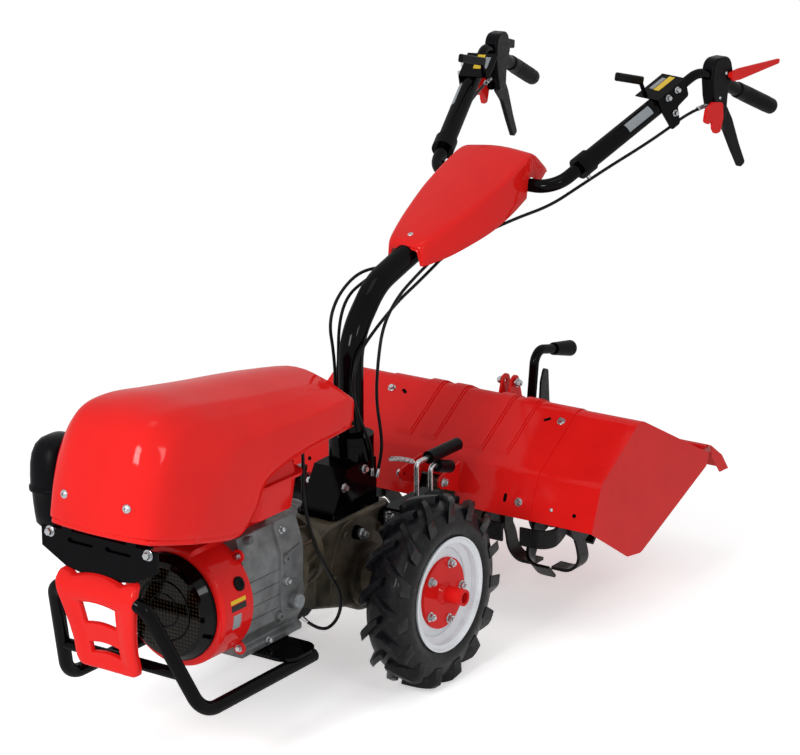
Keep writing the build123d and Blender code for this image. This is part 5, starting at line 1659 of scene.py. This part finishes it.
# ------------------------------------------------------------------ handlebar
@dataclass
class Handlebar:
    """Screws, films, adjusters and grip ridges of the handlebar and its column."""

    stem_start: tuple = (201.564, 720.406, 878.489)
    stem_run: tuple = (0.2680, 0.8583, 0.4376)
    stem_up: tuple = (-0.1310, -0.4180, 0.8990)
    stem_r: float = 24.0
    # (along the left stem, up over it, out from it) of its collar's bolt.
    collar_bolt: tuple = (12, -30, 14)
    # How far along the stem its film lies, the film's length and its width.
    stem_film: tuple = (214, 88, 24)
    plate_middle: tuple = (287.951, 996.842, 1046.617)
    plate_top: float = 3.3
    # Name, how far along the plate and in from its middle, length, width and finish.
    plate_films: tuple = (
        ("plate_yellow_films", 14, 14, 62, 20, LABEL_YELLOW),
        ("plate_silver_films", 10, 34, 50, 14, LABEL_SILVER),
    )
    cheek_bolts: tuple = ((319, 1005, 1045), (310, 975.7, 1028.2), (317.7, 1000.5, 986.6))
    head_screws: tuple = ((352, 1176, 1000.7), (356, 1200, 1062))
    adjuster_ends: tuple = ((317.2, 1095, 976.2), (329.8, 1154, 985))
    grip_end: tuple = (370.0, 1434.0, 939.0)
    grip_run: tuple = (0.1310, 0.9112, -0.3906)
    grip_r: float = 21.5
    grip_length: float = 176.0
    ridge_pitch: float = 11.0

    def on_stem(self, t: float, up: float, out: float) -> np.ndarray:
        """A point t along the left stem, up over it and out from it, from the axle."""
        run, high = np.array(self.stem_run), np.array(self.stem_up)
        return np.array(self.stem_start) + run * t + high * up + np.cross(run, high) * out

    def screws(self) -> None:
        """The collars' clamp bolts and the bolts through the control plates and the heads."""
        on_collar = [self.on_stem(*self.collar_bolt)]
        for name, kind, node, points in (
            ("collar_bolts", Bolt(10.0, 6.0, 14.0, 1.5), "handlebar_stems", on_collar),
            ("cheek_bolts", Bolt(11.0, 8.0, 17.0, 2.0), "control_plates", self.cheek_bolts),
            ("head_screws", DomeScrew(9.0, 3.0), "control_heads", self.head_screws),
        ):
            seated(name, kind, node, points, Body.HANDLEBAR, True)

    def films(self) -> None:
        """Blank films: one on each stem and two on each control plate."""
        run, high = np.array(self.stem_run), np.array(self.stem_up)
        outward = np.cross(run, high)
        facing = (high * 0.6 + outward * 0.8) / np.linalg.norm(high * 0.6 + outward * 0.8)
        start, length, width = self.stem_film
        middle = np.array(self.stem_start) + run * start + facing * self.stem_r
        shape = film(middle, run, facing, length, width, self.stem_r)
        make("stem_films", shape.doubled(), LABEL_SILVER, Body.HANDLEBAR, 20.0)
        top = np.array(self.plate_middle) + high * self.plate_top
        for name, start, back, length, width, finish in self.plate_films:
            shape = film(top + run * start - outward * back, run, high, length, width)
            make(name, shape.doubled(), finish, Body.HANDLEBAR, 20.0)

    def adjusters(self) -> None:
        """The barrel adjusters where the cables meet the hand levers: thread, lock nut, knurled barrel."""
        thread = lathe([(3.0, 0.0), (3.0, 50.0)], 12)
        nut = lathe([(6.5, 18.0), (6.5, 23.0)], 6)
        knurl = fluted_cap(5.6, 20.0, 12).placed(Matrix.Translation((0, 0, 0.026)))
        start, end = from_axle(self.adjuster_ends)
        left = (thread + nut + knurl).placed(along(start, end - start))
        make("cable_adjusters", left.doubled(), ZINC, Body.HANDLEBAR)

    def grips(self) -> None:
        """Moulded ridges round the grips: raised rings along them."""
        ridge = bead(self.grip_r - 0.6, 1.3, 36)
        rings = []
        for back in np.arange(26.0, self.grip_length - 30.0, self.ridge_pitch):
            centre = np.array(self.grip_end) - np.array(Vector(self.grip_run)) * back
            rings.append(ridge.placed(at(centre, self.grip_run)))
        make("grip_ridges", join(rings).doubled(), GRIP_PVC, Body.HANDLEBAR, 60.0)

    def build(self) -> None:
        """Makes the handlebar's fine pieces."""
        self.screws()
        self.films()
        self.adjusters()
        self.grips()


# ------------------------------------------------------------------ CAD nodes
NODE_FINISHES: dict[Finish, tuple[str, ...]] = {
    WHITE_ENAMEL: ("left_rim", "right_rim"),
    RED_ENAMEL: (
        "left_hub", "right_hub", "tiller_hood", "hood_wings", "rear_flap", "hitch_clevis", "fan_shroud",
        "fuel_tank",
    ),
    RED_ABS: ("engine_cover", "column_cover", "bumper_grille", "safety_latches", "thumb_lever"),
    BLACK_COAT: (
        "column_base", "column", "crossbar", "handlebar_stems", "handle_tubes", "front_bracket",
        "hood_bracket", "muffler", "depth_lever", "selector_bracket", "bumper_frame", "base_plate",
        "control_plates",
    ),
    BLACK_NYLON: ("air_cleaner", "control_heads", "throttle_lever", "small_levers", "hand_levers"),
    VENT_PLASTIC: ("recoil_cover",),
    DIE_CAST: ("engine_block", "engine_cylinder"),
    GEAR_CAST: ("gearbox_housing", "axle_housings", "bell_housing", "tiller_case"),
    ZINC: ("flap_hinge", "selector_rods"),
    FORGED: ("tine_shaft", "tine_blades", "depth_skid", "depth_quadrant"),
    TURNED: ("left_axle_shaft", "right_axle_shaft"),
    GRIP_PVC: ("hand_grips", "selector_grips"),
    SHEATH_PVC: ("handlebar_cables", "column_cables", "engine_cable"),
    TYRE_RUBBER: ("left_tyre", "right_tyre"),
}


def dress_nodes() -> None:
    """Gives every CAD node its finish."""
    for finish, names in NODE_FINISHES.items():
        material = finish.build()
        for name in names:
            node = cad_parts[name]
            for slot in node.material_slots:
                slot.material = material


# ------------------------------------------------------------------ setting
@dataclass
class Studio:
    """A pale floor, soft lamps and the camera."""

    camera_place: tuple[float, float, float] = (3.66796, -5.41555, 2.60844)
    azimuth: float = 34.23
    elevation: float = 16.66
    lens: float = 126.0
    fill: float = 0.55
    floor_half: float = 30.0
    floor_fade: tuple[float, float] = (1.1, 2.4)
    floor_lift: float = 0.45
    # Place, size and power of each lamp, and the height over the ground that they all face.
    lamps: tuple[tuple[tuple[float, float, float], float, float], ...] = (
        ((0.3, -4.5, 2.4), 1.1, 90.0),
        ((3.6, -2.4, 2.6), 0.8, 20.0),
        ((0.3, -0.9, 4.4), 1.4, 12.0),
    )
    lit_height: float = 0.5

    def set_up(self, name: str, data: bpy.types.ID, place: Point, ray: Vector) -> bpy.types.Object:
        """Puts a lamp or a camera in the scene.

        Args:
            name: its name.
            data: the lamp's or the camera's data.
            place: where it stands.
            ray: the way it looks.

        Returns:
            The new object.
        """
        item = bpy.data.objects.new(name, data)
        item.location = place
        item.rotation_mode = "QUATERNION"
        item.rotation_quaternion = ray.to_track_quat("-Z", "Y")
        bpy.context.scene.collection.objects.link(item)
        return item

    def camera(self) -> None:
        """Places the camera along its azimuth and elevation."""
        data = bpy.data.cameras.new("camera")
        data.lens = self.lens
        data.sensor_width = 36.0
        data.clip_end = 100.0
        a, e = math.radians(self.azimuth), math.radians(self.elevation)
        back = Vector((math.sin(a) * math.cos(e), -math.cos(a) * math.cos(e), math.sin(e)))
        bpy.context.scene.camera = self.set_up("camera", data, self.camera_place, -back)

    def lights(self) -> None:
        """Three soft square lamps that face the machine."""
        for number, (place, size, power) in enumerate(self.lamps):
            data = bpy.data.lights.new(f"lamp_{number}", "AREA")
            data.shape = "SQUARE"
            data.size = size
            data.energy = power
            self.set_up(f"lamp_{number}", data, place, Vector((0.0, 0.0, self.lit_height)) - Vector(place))

    def seen(self, tree: Tree) -> Socket:
        """Tells the rays that reach the eye from those that only light.

        Args:
            tree: the node tree that asks.

        Returns:
            1 for rays from the camera, off gloss or through glass, else 0.
        """
        path = put(tree, "ShaderNodeLightPath").outputs
        first = combined(tree, "MAXIMUM", path["Is Camera Ray"], path["Is Glossy Ray"])
        return combined(tree, "MAXIMUM", first, path["Is Transmission Ray"])

    def world(self) -> None:
        """White to the camera, in gloss and through glass, and a softer fill elsewhere."""
        world = bpy.data.worlds.new("studio")
        world.use_nodes = True
        tree = world.node_tree
        tree.nodes.clear()
        fill, white = (
            put(tree, "ShaderNodeBackground", {"Color": WHITE, "Strength": strength}).outputs[0]
            for strength in (self.fill, 1.0)
        )
        mixed = put(tree, "ShaderNodeMixShader", {0: self.seen(tree), 1: fill, 2: white})
        put(tree, "ShaderNodeOutputWorld", {"Surface": mixed.outputs[0]})
        bpy.context.scene.world = world

    def floor(self) -> None:
        """A wide matt floor, lit round the machine, where its shadow lies, and plain white farther out."""
        half = self.floor_half
        mesh = bpy.data.meshes.new("floor")
        corners = [(-half, -half, 0), (half, -half, 0), (half, half, 0), (-half, half, 0)]
        mesh.from_pydata(corners, [], [(0, 1, 2, 3)])
        material = bpy.data.materials.new("matt white floor")
        material.use_nodes = True
        tree = material.node_tree
        matt = {
            "Base Color": (0.97, 0.97, 0.97, 1.0),
            "Roughness": 0.9,
            "Specular IOR Level": 0.0,
            "Emission Color": WHITE,
            "Emission Strength": combined(tree, "MULTIPLY", self.seen(tree), self.floor_lift),
        }
        shader = tune(tree.nodes["Principled BSDF"], matt)
        reach = put(tree, "ShaderNodeVectorMath", {"operation": "LENGTH", 0: object_point(tree)})
        far = between(tree, reach.outputs["Value"], *self.floor_fade)
        share = combined(tree, "MULTIPLY", far, self.seen(tree))
        white = put(tree, "ShaderNodeEmission", {"Color": WHITE, "Strength": 1.0}).outputs[0]
        mixed = put(tree, "ShaderNodeMixShader", {0: share, 1: shader.outputs[0], 2: white})
        tune(tree.nodes["Material Output"], {"Surface": mixed.outputs[0]})
        mesh.materials.append(material)
        floor = bpy.data.objects.new("floor", mesh)
        bpy.context.scene.collection.objects.link(floor)

    def build(self) -> None:
        """Sets up the whole studio."""
        self.floor()
        self.lights()
        self.world()
        self.camera()
        bpy.context.scene.view_settings.view_transform = "Standard"


def main() -> None:
    """Builds the machine's sub-assemblies in order."""
    logging.basicConfig(level=logging.INFO, format="%(message)s")
    dress_nodes()
    for part in (
        Wheels, Cables, EngineCover, ColumnCover, AirCleaner, BumperGrille, Engine, Castings, Tiller,
        Handlebar, Studio,
    ):
        part().build()


if __name__ == "__main__":
    main()
